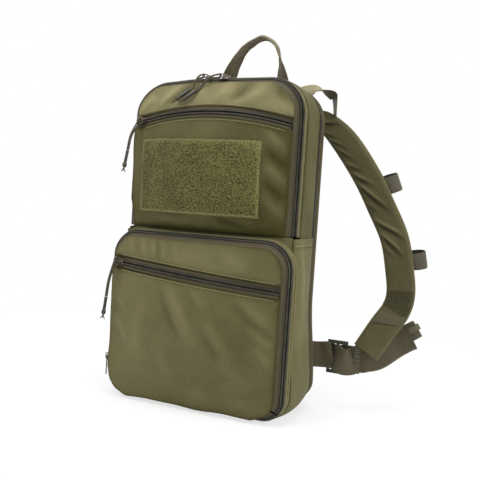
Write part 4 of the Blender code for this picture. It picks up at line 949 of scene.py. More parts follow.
class SlipArc:
    """The arc that a slip zip follows across a front: through its left end, its middle and its right end."""

    def __init__(self, face, heights):
        end = face.half - 4.0 * GAP
        left, middle, right = (face.point(x, z) for x, z in zip((-end, 0.0, end), heights))
        outward = face.facing(0.0, heights[1])
        chord = right - left
        rise = middle - (left + right) / 2.0
        tall = np.linalg.norm(rise)
        wide = np.linalg.norm(chord)
        self.radius = (wide ** 2 / 4.0 + tall ** 2) / (2.0 * tall)
        self.spoke = rise / tall
        self.centre = middle - self.spoke * self.radius
        self.axis = unit(np.cross(self.spoke, chord))
        self.reach = math.asin(wide / 2.0 / self.radius)
        self.middle = middle
        self.along = chord / wide
        self.outward = unit(outward - self.along * (outward @ self.along))
        self.across = np.cross(self.outward, self.along)

    def place(self, angle, across, lift):
        """Turns spots about the arc's axis: v cos + (axis x v) sin + axis (axis . v)(1 - cos)."""
        across, lift, angle = (part[..., None] for part in np.broadcast_arrays(across, lift, angle))
        spot = self.spoke * self.radius + self.across * across + self.outward * lift
        flat = np.cross(np.broadcast_to(self.axis, spot.shape), spot) * np.sin(angle)
        upright = self.axis * ((spot @ self.axis)[..., None] * (1.0 - np.cos(angle)))
        return self.centre + spot * np.cos(angle) + flat + upright

    def height(self, x):
        share = np.clip((x - self.middle[0]) / self.along[0] / self.radius, -0.99, 0.99)
        return self.place(np.arcsin(share), 0.0, 0.0)[..., 2]

    def lip(self, offset):
        """The height curve an even way off the zip's middle line."""
        def curve(x):
            return self.height(x) + offset
        return curve


def crease(x, z, start, end, width, height, lean):
    """A soft ridge between two places: a bell across it, nothing at both ends, wider on the lean's side."""
    run = np.subtract(end, start)
    length = np.hypot(*run)
    share = ((x - start[0]) * run[0] + (z - start[1]) * run[1]) / length ** 2
    off = ((x - start[0]) * run[1] - (z - start[1]) * run[0]) / length
    wide = width * np.where(off * lean > 0.0, 1.0 + abs(lean), 1.0)
    return height * bell(off, wide) * np.sin(np.pi * np.clip(share, 0.0, 1.0)) ** 0.8


def rim_push(face, x, z, push):
    """The way outward at a front's rim, and how far its cloth hangs out there, from the push of each side."""
    corner = max(face.radii)
    sideways = np.clip(np.abs(x) - face.half + corner, 0.0, None) * np.sign(x)
    upward = np.clip(z - face.top + corner, 0.0, None) - np.clip(face.base + corner - z, 0.0, None)
    way = unit(places(sideways, upward))
    left, right, top, base = push
    far = np.where(way[..., 0] < 0.0, left, right) * way[..., 0] ** 2
    far = far + np.where(way[..., 1] < 0.0, base, top) * way[..., 1] ** 2
    return way, far * (1.0 - 1.1 * np.abs(way[..., 0] * way[..., 1]))


def front_panel(name, node, body, face, arc, above, net, creases, depth, slack, push, panel_light_and_shade, settle=np.array):
    """A cloth panel of a front, above or below its slip zip: a closed sheet with a row of stitches.

    It has a swell, creases, slow slack waves and a rolled edge. Just inside the rim the cloth hangs out over
    its tape, by the push of that side: left, right, top, base.
    """
    margin = SLIP_MARGIN if above else -SLIP_MARGIN
    low = arc.lip(margin) if above else level(face.base)
    high = level(face.top) if above else arc.lip(margin)
    x, z = face.net(low, high, *net)
    foot = z - face.base if push[3] > 0.0 else face.top
    rim = np.maximum(np.minimum(face.half_at(z) - np.abs(x), np.minimum(face.top - z, foot)), 0.0)
    near = np.maximum(np.minimum(rim, np.minimum(z - low(x), high(x) - z)), 0.0)
    bound = np.exp(-near / LOOSE_RUN)
    folds = depth * sum(crease(x, z, *spec) for spec in creases) * (1.0 - bound)
    waves = ripple((x + 0.35 * z, 0.067, 0.3, 0.5), (z - 0.5 * x, 0.053, 1.1, 0.4))
    waves = slack * (waves + ripple((x - 0.8 * z, 0.029, 2.2, 0.25))) * (1.0 - bound)
    pucker = slack * ripple((x + z, 0.021, 0.0, 0.5), (x - z, 0.017, 1.7, 0.4)) * bound * (near > 0.0)
    rolled = np.exp(-near / EDGE_ROLL)
    lift = PANEL_SWELL * (1.0 - rolled) + folds + waves + 0.5 * pucker
    way, far = rim_push(face, x, z, push)
    far = far * (1.0 + 0.07 * ripple((x + z, 0.113, 0.0, 1.0), (x - z, 0.061, 1.0, 0.5)))
    hang = far * ramp(rim, HANG_RUN[0]) * bell(rim, HANG_RUN[1])
    y = face.front(x, z)
    sheet = places(x + way[..., 0] * hang, y - lift - 0.25 * hang, z + way[..., 1] * hang)
    back = places(x, y - np.minimum(lift, 0.0) + CLOTH - 2.0 * GAP, z)
    skin = Skin()
    # Painted light and shade: the panel's own light and shade, paler crease and wave ridges, darker hollows,
    # and painted shade along the rolled edge.
    panel_shading = panel_light_and_shade(x, z) + 58.0 * folds + 60.0 * waves - 0.85 * rolled
    skin.shell(settle(sheet), settle(back), places(x, z), panel_shading)
    x = np.linspace(-0.975, 0.975, 160) * (face.half - 0.004)
    z = arc.height(x) + margin + (EDGE_STITCH if above else -EDGE_STITCH)
    stitches(skin, face.point(x, z, STITCH_LIFT), face.facing(x, z))
    skin.make(name, [olive_cloth, olive_thread], body, [node])


# Painted light: the crown is paler, and paler still towards the left.
def crown_painted_light(x, z):
    return 0.34 - 0.9 * np.clip(x, -0.080, 0.080)


# Painted shade: the lower front is darker, darker still just above its foot and towards the right.
def front_painted_shade(x, z):
    return -0.25 - 0.10 * np.exp(-(z - upper.base) / 0.016) - 1.5 * np.clip(x, 0.0, 0.1)


upper_half = BODY_HALF - EDGE_INSET
upper_base = FOLD_HEIGHT + GAP
upper = FrontFace(upper_half, upper_base, BODY_TOP - EDGE_INSET, (0.039, 1e-9), FRONT_SEAM_Y, 0.024, 0.10)
upper_middle = UPPER_SLIP_HEIGHT + UPPER_SLIP_ARCH
upper_arc = SlipArc(upper, (UPPER_SLIP_HEIGHT, upper_middle, UPPER_SLIP_HEIGHT))
front_panel(
    "crown_cloth", "crown_panel", "main_flap", upper, upper_arc, True, (130, 44), CROWN_CREASES, 1.8, 0.0006,
    CROWN_PUSH, crown_painted_light, slump,
)
front_panel(
    "front_cloth", "front_panel", "main_flap", upper, upper_arc, False, (140, 80), FRONT_CREASES, 1.15,
    0.0005, FRONT_PUSH, front_painted_shade, slump,
)

# Slip zips: a fine coil chain on woven tape, set in the slit across each front panel.
# The lips of the cloth are folded back and sewn down on the tape with one row of stitches.
SLIP_CHAIN_HALF = 0.0040
SLIP_RISE = 0.00138
SLIP_SCALE = 0.8
SLIP_TAPE = np.array([0.0075, 0.0063, 0.0052, SLIP_CHAIN_HALF + 0.0003])
SLIP_TAPE_LIFT = np.array([0.0, -0.0001, -0.0001, 0.0])
SLIP_SLOT = (CHAIN_SLOT * 0.6, -0.0006)
SLIP_BACK = 0.0009
FACING_HALF = 0.0125
FACING_SINK = (0.0019, 0.0025)


def slip_chain(name, node, body, face, arc):
    """Both tapes and coils of a slip zip: one profile across the arc, ribbed along its length.

    A facing of the same tape lies behind the lips, and closes the slit from inside.
    """
    steps = round(2.0 * arc.reach * arc.radius / (RIB_STEP * SLIP_SCALE))
    angle = np.linspace(-arc.reach, arc.reach, steps + 1)
    walked = (angle + arc.reach) * arc.radius
    # Painted highlight on each rib's crest of the coil.
    across, lift, rib_highlight = chain_columns(walked, SLIP_CHAIN_HALF, SLIP_RISE, COIL_PITCH * SLIP_SCALE)
    fixed = np.ones((len(angle), 1))
    left = np.concatenate([fixed * -SLIP_TAPE, -across, fixed * -SLIP_SLOT[0]], axis=1)
    lifts = np.concatenate([fixed * SLIP_TAPE_LIFT, lift, fixed * SLIP_SLOT[1]], axis=1)
    rib_highlights = np.concatenate([fixed * np.zeros(4), rib_highlight, fixed * 0.0], axis=1)
    edge = SLIP_TAPE[0]
    wide = np.concatenate([left, -left[:, ::-1], fixed * [edge, -edge, -edge]], axis=1)
    lifts = np.concatenate([lifts, lifts[:, ::-1], fixed * [-SLIP_BACK, -SLIP_BACK, 0.0]], axis=1)
    rib_highlights = np.concatenate([rib_highlights, rib_highlights[:, ::-1], fixed * np.zeros(3)], axis=1)
    tint = np.array([0] * 3 + [1] * 17 + [0] * 6)
    skin = Skin()
    skin.tube(arc.place(angle[:, None], wide, lifts), places(wide, walked[:, None]), rib_highlights, tint)
    x, offset = np.meshgrid(np.linspace(-1.0, 1.0, 90), np.linspace(-1.0, 1.0, 9))
    x = x * (face.half - GAP)
    z = arc.height(x) + offset * FACING_HALF
    skin.shell(*(face.point(x, z, -sink) for sink in FACING_SINK), places(x, z))
    skin.make(name, [tape_cloth, coil_nylon], body, [node])


slip_chain("upper_slip_chain", "upper_slip_zip", "main_flap", upper, upper_arc)

# Loop panel: a sheet of brushed loop pile for patches, cut to a rectangle and sewn on all round.
# Its border is pressed flat by the stitches, and the pile stands in small curly tufts.
LOOP_HALF = 0.094
LOOP_SHIFT = -0.0125
LOOP_LOW = FOLD_HEIGHT + 0.022
LOOP_HIGH = UPPER_SLIP_HEIGHT - 0.0235
LOOP_TALL = LOOP_HIGH - LOOP_LOW
LOOP_LIFT = 0.0020 + 2.0 * GAP
LOOP_BACK = 0.0009
LOOP_BORDER = 0.0042
LOOP_SEAM = 0.0022
PILE_LIFT = (0.0004, 0.00042)
PILE_DEEP = (0.022, 0.022, 0.005)
PILE_PALE = (0.280, 0.270, 0.088)
pile_looks = {"Roughness": 0.95, "Sheen Weight": 0.12, "Specular IOR Level": 0.15}
pile_finish, pile_shader, pile_start = new_finish("loop_pile", pile_looks)
pile_map = pile_start.cloth()
pile_flat = {"noise_dimensions": "2D"}
pile_curls = {"Vector": pile_map, "Scale": 540.0, "Detail": 3.0, "Distortion": 1.4}
pile_curl = pile_map.node("ShaderNodeTexNoise", pile_flat, pile_curls)
pile_patches = {"Vector": pile_map, "Scale": 34.0, "Detail": 3.0}
pile_patch = pile_map.node("ShaderNodeTexNoise", pile_flat, pile_patches)
pile_cells = {"Vector": pile_map, "Scale": 580.0}
pile_tuft = pile_map.node("ShaderNodeTexVoronoi", {"voronoi_dimensions": "2D"}, pile_cells, "Distance")
pile_share = (pile_curl - 0.5) * 2.0 + (0.42 - pile_tuft) * 0.8 + (pile_patch - 0.5) * 0.35 + 0.40
# The pile's share takes in the panel's painted light on raised tufts and its paler border.
pile_share = (pile_share + pile_start.tone_and_shading()).held()
pile_share.tinted(PILE_DEEP, PILE_PALE).feed(pile_shader, "Base Color")
pile_share.bump(pile_shader, 0.9, 0.0009)

u, v = np.meshgrid(np.linspace(-1.0, 1.0, 220), np.linspace(0.0, 1.0, 130))
x = LOOP_SHIFT + u * LOOP_HALF
z = LOOP_LOW + LOOP_TALL * v
inside = np.minimum((1.0 - np.abs(u)) * LOOP_HALF, np.minimum(v, 1.0 - v) * LOOP_TALL)
tufts = np.random.default_rng(7).normal(0.0, 1.0, x.shape)
tufts = (tufts + np.roll(tufts, 1, 0) + np.roll(tufts, 1, 1) + np.roll(tufts, (1, 1), (0, 1))) / 2.0
pile_zone = ramp(inside - LOOP_BORDER, 0.0015)
lift = LOOP_LIFT - 0.0006 * bell(inside - LOOP_BORDER, 0.0012)
lift = lift + pile_zone * (PILE_LIFT[0] + PILE_LIFT[1] * np.clip(tufts, -1.6, 1.9))
lift = lift + ripple((x, 0.071, 0.4, 0.0004), (z, 0.058, 1.0, 0.0003))
pile = Skin()
# The pressed border is drawn paler, and each tuft paler the higher it stands: painted light on the raised
# tufts.
pile_tuft_light_and_border_tone = 0.16 * (1.0 - pile_zone) + 0.06 * pile_zone * tufts
pile.shell(upper.point(x, z, lift), upper.point(x, z, LOOP_BACK), places(x, z), pile_tuft_light_and_border_tone)
along = np.linspace(-1.0, 1.0, 90)
upward = np.linspace(-1.0, 1.0, 60)
for row_x, row_z in ((along, -1.0), (along, 1.0), (-1.0, upward), (1.0, upward)):
    x, z = np.broadcast_arrays(row_x, row_z)
    x = LOOP_SHIFT + x * (LOOP_HALF - LOOP_SEAM)
    z = LOOP_LOW + LOOP_TALL / 2.0 + z * (LOOP_TALL / 2.0 - LOOP_SEAM)
    stitches(pile, upper.point(x, z, LOOP_LIFT), upper.facing(x, z))
pile.make("loop_pile_panel", [pile_finish, olive_thread], "main_flap", ["loop_panel"])

# Pocket flap: two cloth panels with a slanting slip zip between them, over the pocket's foot. The upper one
# hangs on the pocket flap, and the lower one is only baked in place.
# The cloth is loose: it is gathered above the zip on the left, and long soft folds run down the lower panel.
POCKET_SLIP_HEIGHT = 0.1865
POCKET_SLIP_DROP = 0.0097
POCKET_PUSH = (0.0060, 0.0030, 0.0040, 0.0105)
POCKET_BEND = (0.0060, 0.0220)
POCKET_TOP_CREASES = (
    ((-0.102, 0.233), (-0.100, 0.196), 0.0030, 0.0022, 0.0),
    ((-0.092, 0.233), (-0.088, 0.198), 0.0028, -0.0018, 0.0),
    ((-0.083, 0.233), (-0.077, 0.200), 0.0028, 0.0026, 0.3),
    ((-0.067, 0.232), (-0.059, 0.199), 0.0030, 0.0027, 0.3),
    ((-0.060, 0.231), (-0.052, 0.199), 0.0028, -0.0018, 0.0),
    ((-0.052, 0.230), (-0.043, 0.198), 0.0034, 0.0022, 0.0),
    ((-0.034, 0.229), (-0.022, 0.198), 0.0042, 0.0016, 0.0),
    ((0.030, 0.229), (0.080, 0.194), 0.0090, 0.0018, 0.0),
)
POCKET_CREASES = (
    ((-0.036, 0.182), (0.018, 0.090), 0.0075, 0.0046, 0.6),
    ((-0.046, 0.166), (-0.002, 0.092), 0.0065, -0.0034, 0.0),
    ((0.000, 0.176), (0.030, 0.142), 0.0055, 0.0026, 0.0),
    ((0.028, 0.134), (0.068, 0.080), 0.0070, 0.0034, 0.5),
    ((0.020, 0.124), (0.052, 0.078), 0.0060, -0.0022, 0.0),
    ((-0.121, 0.124), (-0.096, 0.084), 0.0045, 0.0036, 0.0),
    ((-0.122, 0.152), (-0.102, 0.126), 0.0045, 0.0024, 0.0),
    ((0.068, 0.170), (0.124, 0.122), 0.0070, 0.0034, -0.5),
    ((0.062, 0.156), (0.118, 0.112), 0.0060, -0.0022, 0.0),
    ((0.086, 0.130), (0.127, 0.096), 0.0060, 0.0030, 0.0),
    ((0.096, 0.106), (0.127, 0.068), 0.0055, 0.0022, 0.0),
    ((-0.070, 0.156), (-0.082, 0.058), 0.0100, 0.0026, 0.0),
    ((-0.046, 0.096), (-0.016, 0.026), 0.0100, 0.0024, 0.0),
    ((0.050, 0.078), (0.098, 0.038), 0.0090, 0.0022, 0.0),
    ((-0.060, 0.034), (0.050, 0.026), 0.0065, 0.0018, 0.0),
    ((0.058, 0.024), (0.114, 0.028), 0.0045, 0.0016, 0.0),
)


# Painted shade: the pocket is darker, and darker towards the right; its top panel a little less so.
def pocket_painted_shade(x, z):
    return -0.14 - 0.9 * np.clip(x, -0.12, 0.09)


def pocket_top_painted_shade(x, z):
    return pocket_painted_shade(x, z) + 0.06


pocket_half = POCKET_HALF - EDGE_INSET
pocket = FrontFace(pocket_half, EDGE_INSET, POCKET_TOP - EDGE_INSET, (0.029, 0.021), POCKET_SEAM_Y, 0.022)
slip_heights = [POCKET_SLIP_HEIGHT + POCKET_SLIP_DROP * share for share in (1.0, 0.0, -1.0)]
pocket_arc = SlipArc(pocket, slip_heights)
pocket_bend = ("pack", "pocket_flap", *((0.0, POCKET_SEAM_Y, height) for height in POCKET_BEND))
front_panel(
    "pocket_top_cloth", "pocket_top_panel", "pocket_flap", pocket, pocket_arc, True, (140, 44),
    POCKET_TOP_CREASES, 1.0, 0.0005, POCKET_PUSH, pocket_top_painted_shade,
)
front_panel(
    "pocket_main_cloth", "pocket_main_panel", pocket_bend, pocket, pocket_arc, False, (160, 110),
    POCKET_CREASES, 0.72, 0.0004, POCKET_PUSH, pocket_painted_shade,
)
slip_chain("pocket_slip_chain", "pocket_slip_zip", "pocket_flap", pocket, pocket_arc)

# Back panel and frame: a padded back of two cloth layers, bound all round with folded tape.
# A stiff plastic sheet stands inside it, held by a lining sleeve that is open at its top.
BACK_FRONT_Y = 0.0476
BACK_REAR_Y = 0.0556
BACK_FACE_Y = BACK_REAR_Y + GAP
BACK_MIDDLE_Y = (BACK_FRONT_Y + BACK_REAR_Y) / 2.0
BINDING_ROWS = (0.0042, 0.0072)
RIM_HALF = (0.0041, 0.0021)
RIM_INSET = 0.0016
BACKWARD = np.array([0.0, 1.0, 0.0])
SLEEVE_HALF = 0.1155
SLEEVE_FLAT = 0.105
SLEEVE_BASE = 0.0150
SLEEVE_TOP = 0.3450
SLEEVE_FRONT_Y = 0.0343
SLEEVE_CORNER = 0.006
SLEEVE_SAG = 0.0012
SLEEVE_CLOTH = CLOTH * 0.6
LINING_COLOUR = ((0.060, 0.054, 0.026), (0.105, 0.095, 0.046))
BOARD_COLOUR = ((0.016, 0.016, 0.015), (0.034, 0.034, 0.032))
lining_cloth = woven_finish("lining_nylon", *LINING_COLOUR, weave=0.0006, grain=0.3)
back_face = FrontFace(BODY_HALF, 0.0, BODY_TOP, (TOP_RADIUS, BASE_RADIUS))
x, z = back_face.net(level(0.0), level(BODY_TOP), 90, 130)
inside = back_face.inside(x, z)
slack = ripple((x + 0.3 * z, 0.083, 0.2, 0.5), (z - 0.4 * x, 0.061, 1.0, 0.5))
rear_y = BACK_REAR_Y - 0.0007 + 0.0005 * slack * ramp(inside, 0.02) - 0.0016 * np.exp(-inside / 0.004)
back = Skin()
# Painted light on the ridges of the cloth's slack, painted shade in its hollows.
back.shell(slump(places(x, rear_y, z)), slump(places(x, BACK_FRONT_Y, z)), places(x, z), 0.06 * slack)
path, outward, walked = body_path(BODY_STEP)
turn = np.linspace(0.0, 2.0 * np.pi, 17)[None, :]
rim_y = BACK_MIDDLE_Y + RIM_HALF[0] * np.sign(np.cos(turn)) * np.abs(np.cos(turn)) ** 0.6
rim = slump(band_points(path, outward, RIM_HALF[1] * np.sin(turn) - RIM_INSET, rim_y))
back.grid(rim, places(0.006 * turn, walked[:, None]), tint=1)
for inset in BINDING_ROWS:
    row = band_points(path, outward, np.array([[-inset]]), BACK_REAR_Y - 0.0004)[:, 0]
    stitches(back, slump(row), BACKWARD, tint=2)
back.make("back_cloth", [olive_cloth, tape_cloth, olive_thread], "pack", ["back_panel"])
recoat("frame_sheet", grained_finish("frame_board", *BOARD_COLOUR, 260.0, 0.35, 0.3))

bend = np.linspace(0.0, np.pi / 2.0, 7)
corner = places(-SLEEVE_HALF, SLEEVE_FRONT_Y) + SLEEVE_CORNER * places(1.0 - np.cos(bend), 1.0 - np.sin(bend))
flat = places(np.linspace(-SLEEVE_FLAT, 0.0, 20), SLEEVE_FRONT_Y)
plan = np.concatenate([[(-SLEEVE_HALF, BACK_FRONT_Y - GAP)], corner, flat])
plan = np.concatenate([plan, (plan * [-1.0, 1.0])[-2::-1]])
plan_ways = np.gradient(plan, axis=0)
plan_in = unit(places(-plan_ways[:, 1], plan_ways[:, 0], 0.0))
plan_x, plan_y = plan.T
rise = np.linspace(0.0, 1.0, 40)[:, None]
sag = SLEEVE_SAG * ripple((plan_x, 0.09, 0.3, 0.6), (plan_x + 0.1 * rise, 0.05, 1.0, 0.4)) * rise
sleeve_z = SLEEVE_BASE + (SLEEVE_TOP - SLEEVE_BASE) * rise
outer = places(plan_x, plan_y + np.abs(sag) * (np.abs(plan_x) < 0.1), sleeve_z)
sleeve = Skin()
# Painted light and painted shade following the sleeve's sag.
sleeve.shell(outer, outer + SLEEVE_CLOTH * plan_in, places(lengths(plan), sleeve_z), sag * 90.0)
hem_path = even_path(outer[-1, ::2] + [0.0, 0.0, -0.001], BODY_STEP)
sleeve.tube(*round_tube(hem_path, 0.0011, (0.0, 0.0, 1.0), 8), tint=1)
floor_x = np.linspace(-SLEEVE_HALF + 0.004, SLEEVE_HALF - 0.004, 20)
floor_x, floor_y = np.meshgrid(floor_x, np.linspace(SLEEVE_FRONT_Y + 0.001, BACK_FRONT_Y - GAP, 4))
floor_low = places(floor_x, floor_y, SLEEVE_BASE)
sleeve.shell(floor_low, floor_low + [0.0, 0.0, SLEEVE_CLOTH], places(floor_x, floor_y))
sleeve.make("sleeve_cloth", [lining_cloth, tape_cloth], "pack", ["inner_sleeve"])

# Back pads: air mesh sewn over soft foam, one each side of the channel down the middle of the back.
# The foam fills the cover, so each pad is puffed up by a cloth simulation and held flat along its seam.
PAD_HALF = 0.046
PAD_MIDDLE = 0.054
PAD_BASE = 0.0985
PAD_TOP = 0.3835
PAD_RADIUS = 0.020
PAD_THICK = 0.0067
PAD_SEAM = 0.0014
PAD_DOME = 0.006
PAD_PRESSURE = 4.0
PAD_FRAMES = 20
PAD_SWELL = 0.006
MESH_COLOUR = ((0.020, 0.018, 0.009), (0.085, 0.076, 0.038))
SIDES = {"left": -1.0, "right": 1.0}
mesh_cloth = woven_finish("air_mesh", *MESH_COLOUR, weave=0.0034, grain=0.5, sheen=0.05)


def read_points(mesh):
    points = np.empty(len(mesh.vertices) * 3)
    mesh.vertices.foreach_get("co", points)
    return points.reshape(-1, 3)


def puff(cover):
    """Blows up a closed cover with a cloth simulation, and moves each point as it did, up to a limit."""
    before = read_points(cover.data)
    pinned = np.flatnonzero(before[:, 1] < BACK_FACE_Y + PAD_SEAM + 0.0001)
    cover.vertex_groups.new(name="seam").add(pinned.tolist(), 1.0, "REPLACE")
    cloth = cover.modifiers.new("foam", "CLOTH")
    cloth.settings.vertex_group_mass = "seam"
    cloth.settings.use_pressure = True
    cloth.settings.uniform_pressure_force = PAD_PRESSURE
    cloth.settings.effector_weights.gravity = 0.0
    cloth.settings.quality = 6
    cloth.point_cache.frame_start = 1
    cloth.point_cache.frame_end = PAD_FRAMES
    for number in range(1, PAD_FRAMES + 1):
        scene.frame_set(number)
    moved = read_points(cover.evaluated_get(bpy.context.evaluated_depsgraph_get()).to_mesh()) - before
    cover.modifiers.remove(cloth)
    moved *= np.minimum(1.0, PAD_SWELL / np.maximum(np.linalg.norm(moved, axis=1, keepdims=True), 1e-9))
    settled = before + moved
    settled[:, 1] = np.maximum(settled[:, 1], BACK_FACE_Y)
    cover.data.vertices.foreach_set("co", settled.ravel())
    cover.data.update()
    scene.frame_set(1)


pad_face = FrontFace(PAD_HALF, PAD_BASE, PAD_TOP, (PAD_RADIUS, PAD_RADIUS))
pad_x, z = pad_face.net(level(PAD_BASE), level(PAD_TOP), 25, 73)
pad_rise = 1.0 - np.exp(-np.maximum(pad_face.inside(pad_x, z), 0.0) / PAD_DOME)
dome = BACK_FACE_Y + PAD_SEAM + (PAD_THICK - PAD_SEAM) * pad_rise
for label, side in SIDES.items():
    x = pad_x + side * PAD_MIDDLE
    pad = Skin()
    pad.shell(places(x, dome, z), places(x, BACK_FACE_Y, z), places(x, z))
    pad_piece = pad.make(f"pad_cover_{label}", [mesh_cloth], "pack", [f"back_pad_{label}"])
    puff(pad_piece)
    smooth = pad_piece.modifiers.new("smooth", "SUBSURF")
    smooth.levels = 1
    smooth.render_levels = 1

# Carry handle: a strip of webbing folded along its length, sewn flat into the top seam of the back.
# It twists up from both feet to a loop, and its folded edges leave a groove along the middle.
HANDLE_SHIFT = 0.018
HANDLE_HALF_SPAN = 0.044
HANDLE_RISE = 0.078
HANDLE_LEAN = 0.010
HANDLE_WIDTH = 0.022
HANDLE_THICK = 0.0026
HANDLE_CURL = 0.0030
HANDLE_GROOVE = 0.0006
HANDLE_RUCK = 0.0005
HANDLE_FOOT = BODY_TOP + HANDLE_THICK / 2.0 - 0.5 * GAP
HANDLE_TURNS = ((0.0, 1.0, 0.0), (0.18, 1.0, 20.0), (0.5, 0.86, 60.0), (0.82, 0.58, 85.0), (1.0, 0.0, 90.0))
WEB_TAUPE = ((0.055, 0.046, 0.023), (0.235, 0.200, 0.112))
WEB_THREAD = (0.100, 0.088, 0.046)


def webbing_finish(name, deep, pale, rib=0.0019, ribbing=0.16):
    """Woven webbing: slanting ribs on a cloudy ground, with each piece's painted light and painted shade
    added.
    """
    made, shader, start = new_finish(name, {"Roughness": 0.8, "Sheen Weight": 0.1})
    across, along = start.threads()
    slant = ((across + along) * (2.0 * np.pi / rib)).sine()
    cloud = start.spots().noise(40.0, 4.0)
    speck = start.spots().noise(700.0)
    # The share takes in each piece's painted light and painted shade.
    share = 0.45 + slant * ribbing + (cloud - 0.5) * 0.4 + (speck - 0.5) * 0.5 + start.tone_and_shading()
    share.held().tinted(deep, pale).feed(shader, "Base Color")
    slant.bump(shader, 0.5, 0.0003)
    return made


class Ribbon:
    """A band along a smooth curve through stops: its places, its ways across and out, and its half width."""

    def __init__(self, stops, looks, widths, step):
        looks = np.broadcast_to(looks, np.shape(stops))
        widths = np.broadcast_to(widths, len(stops))[:, None]
        found = even_path(np.concatenate([stops, looks, widths], axis=1), step)
        self.place = found[:, :3]
        ahead = unit(np.gradient(self.place, axis=0))
        self.across = unit(np.cross(found[:, 3:6], ahead))
        self.out = np.cross(ahead, self.across)
        self.half = found[:, 6:] / 2.0
        self.walked = lengths(self.place)[:, None]

    def row(self, share, lift):
        """A line along the band, by its share of the half width and its lift out of the face."""
        return self.place + self.across * (self.half * share) + self.out * lift

    def rings(self, across, lift):
        """Carries a closed section along the band: shares of its half width across, and lifts out of it."""
        wide = (across * self.half)[..., None]
        lift = np.broadcast_to(lift, wide.shape[:2])[..., None]
        rings = self.place[:, None] + self.across[:, None] * wide + self.out[:, None] * lift
        return rings, places(wide[..., 0], self.walked)

    def spots(self, walked, share, lift):
        """Places on the band, by the way walked along it, the share of its half width and the lift."""
        parts = (self.place, self.across, self.out, self.half)
        place, across, out, half = (read_along(walked, self.walked[:, 0], part) for part in parts)
        return place + across * (share[..., None] * half) + out * lift[..., None]


def flat_section(columns, thick, edge=0.92):
    """A thin closed section: a flat face, a rounded edge, a flat back, and the first point again."""
    face = np.linspace(-1.0, 1.0, columns)
    thin = 0.5 * thick * np.clip((1.0 - np.abs(face)) / (1.0 - edge) + 0.35, 0.35, 1.0)
    return np.concatenate([face, face[::-1], face[:1]]), np.concatenate([thin, -thin[::-1], thin[:1]])


taupe_webbing = webbing_finish("taupe_webbing", *WEB_TAUPE)
web_thread = plain_thread("web_thread", WEB_THREAD)
handle_stops = []
handle_looks = []
for share, reach, twist in HANDLE_TURNS:
    lean = math.radians(twist)
    handle_stops.append((-HANDLE_HALF_SPAN * reach, BACK_MIDDLE_Y, HANDLE_FOOT + HANDLE_RISE * share))
    handle_looks.append((-math.sin(lean), math.cos(lean), math.sin(lean)))
for half in (handle_stops, handle_looks):
    half += [(-x, y, z) for x, y, z in reversed(half[:-1])]
handle_stops = np.array(handle_stops)
handle_stops[:, 0] += HANDLE_SHIFT + HANDLE_LEAN * ((handle_stops[:, 2] - HANDLE_FOOT) / HANDLE_RISE) ** 2
handle_line = Ribbon(handle_stops, handle_looks, HANDLE_WIDTH, 0.003)
walked = handle_line.walked
arch_share = np.sin(np.pi * walked / walked[-1])
across, lift = flat_section(23, HANDLE_THICK)
grooves = HANDLE_GROOVE * (bell(np.abs(across) - 0.30, 0.07) + bell(np.abs(across) - 0.74, 0.06))
ruck = ripple((walked + 0.006 * across, 0.031, 0.3, 0.6), (walked - 0.004 * across, 0.017, 1.2, 0.4))
ruck = HANDLE_RUCK * ruck * arch_share
handle_lift = lift - HANDLE_CURL * across ** 2 * arch_share - np.sign(lift) * grooves + ruck
handle = Skin()
# Painted light on the rucks' ridges and painted shade in the folded grooves.
handle.tube(*handle_line.rings(across, handle_lift), 160.0 * ruck - 420.0 * grooves)
handle.make("folded_handle", [taupe_webbing], "handle", ["carry_handle"])

# Shoulder straps: cloth over thin foam, gathered a little, with its edges bound in tape.
# Each one hangs from a yoke band at the top of the back and ends over the lower webbing.
STRAP_WIDTH = 0.042
STRAP_NECK = 0.030
STRAP_FOOT = 0.040
STRAP_THICK = 0.010
STRAP_STAND = 0.030
STRAP_DRAWN_IN = 0.09
STRAP_EDGE = (0.86, 0.0007)
WEB_HEIGHT = 0.0730
WEB_THICK = 0.0016
WEB_WIDTH = 0.038
WEB_CLEARANCE = 0.0007
STRAP_RISE = BODY_TOP - WEB_HEIGHT
STRAP_HEAD_X = BODY_HALF - 0.036
STRAP_HEAD_Z = WEB_HEIGHT + STRAP_RISE * 0.859 + 0.008
STRAP_HEAD_LENGTH = 0.014
STRAP_END_SHARE = 0.72
STRAP_END_X = 0.005
STRAP_END_Z = WEB_HEIGHT + 0.0135
STRAP_LINE_Y = BACK_FACE_Y + STRAP_THICK / 2.0
LOCK_LINE_Y = BACK_FACE_Y + 0.0086
WEB_BEHIND = 0.0015 + WEB_THICK / 2.0 + WEB_CLEARANCE
WEB_LINE_Y = LOCK_LINE_Y + WEB_BEHIND
STRAP_END_Y = WEB_LINE_Y - WEB_THICK / 2.0 - STRAP_THICK / 2.0 - WEB_CLEARANCE
STRAP_FLARES = {"right": (1.0, 0.1245), "left": (-1.0, 0.0600)}
STRAP_STOPS = (
    (-0.05, 0.48, 0.890, STRAP_NECK), (0.20, 0.80, 0.820, STRAP_FOOT), (0.49, 0.93, 0.693, STRAP_WIDTH),
    (0.69, 0.97, 0.579, STRAP_WIDTH), (0.87, 1.00, 0.464, STRAP_WIDTH), (0.96, 0.97, 0.346, STRAP_WIDTH),
    (1.00, 0.83, 0.257, STRAP_WIDTH), (0.96, 0.67, 0.193, STRAP_WIDTH), (0.84, 0.37, 0.126, STRAP_WIDTH),
)
GATHER_SEED = 11
GATHER_GAPS = (0.014, 0.036)
GATHER_HEIGHT = 0.0013
CUFF_START = 0.735
CUFF_GROOVE = (0.752, 0.838)
PATCH_RUN = (0.842, 0.884)
PATCH_SLANT = (0.006, 0.011)
SEAM_SHARE = 0.80
BINDING_SHARE = 0.975
BINDING_RADIUS = 0.0021
STRAP_COLOUR = ((0.020, 0.018, 0.005), (0.190, 0.168, 0.076))
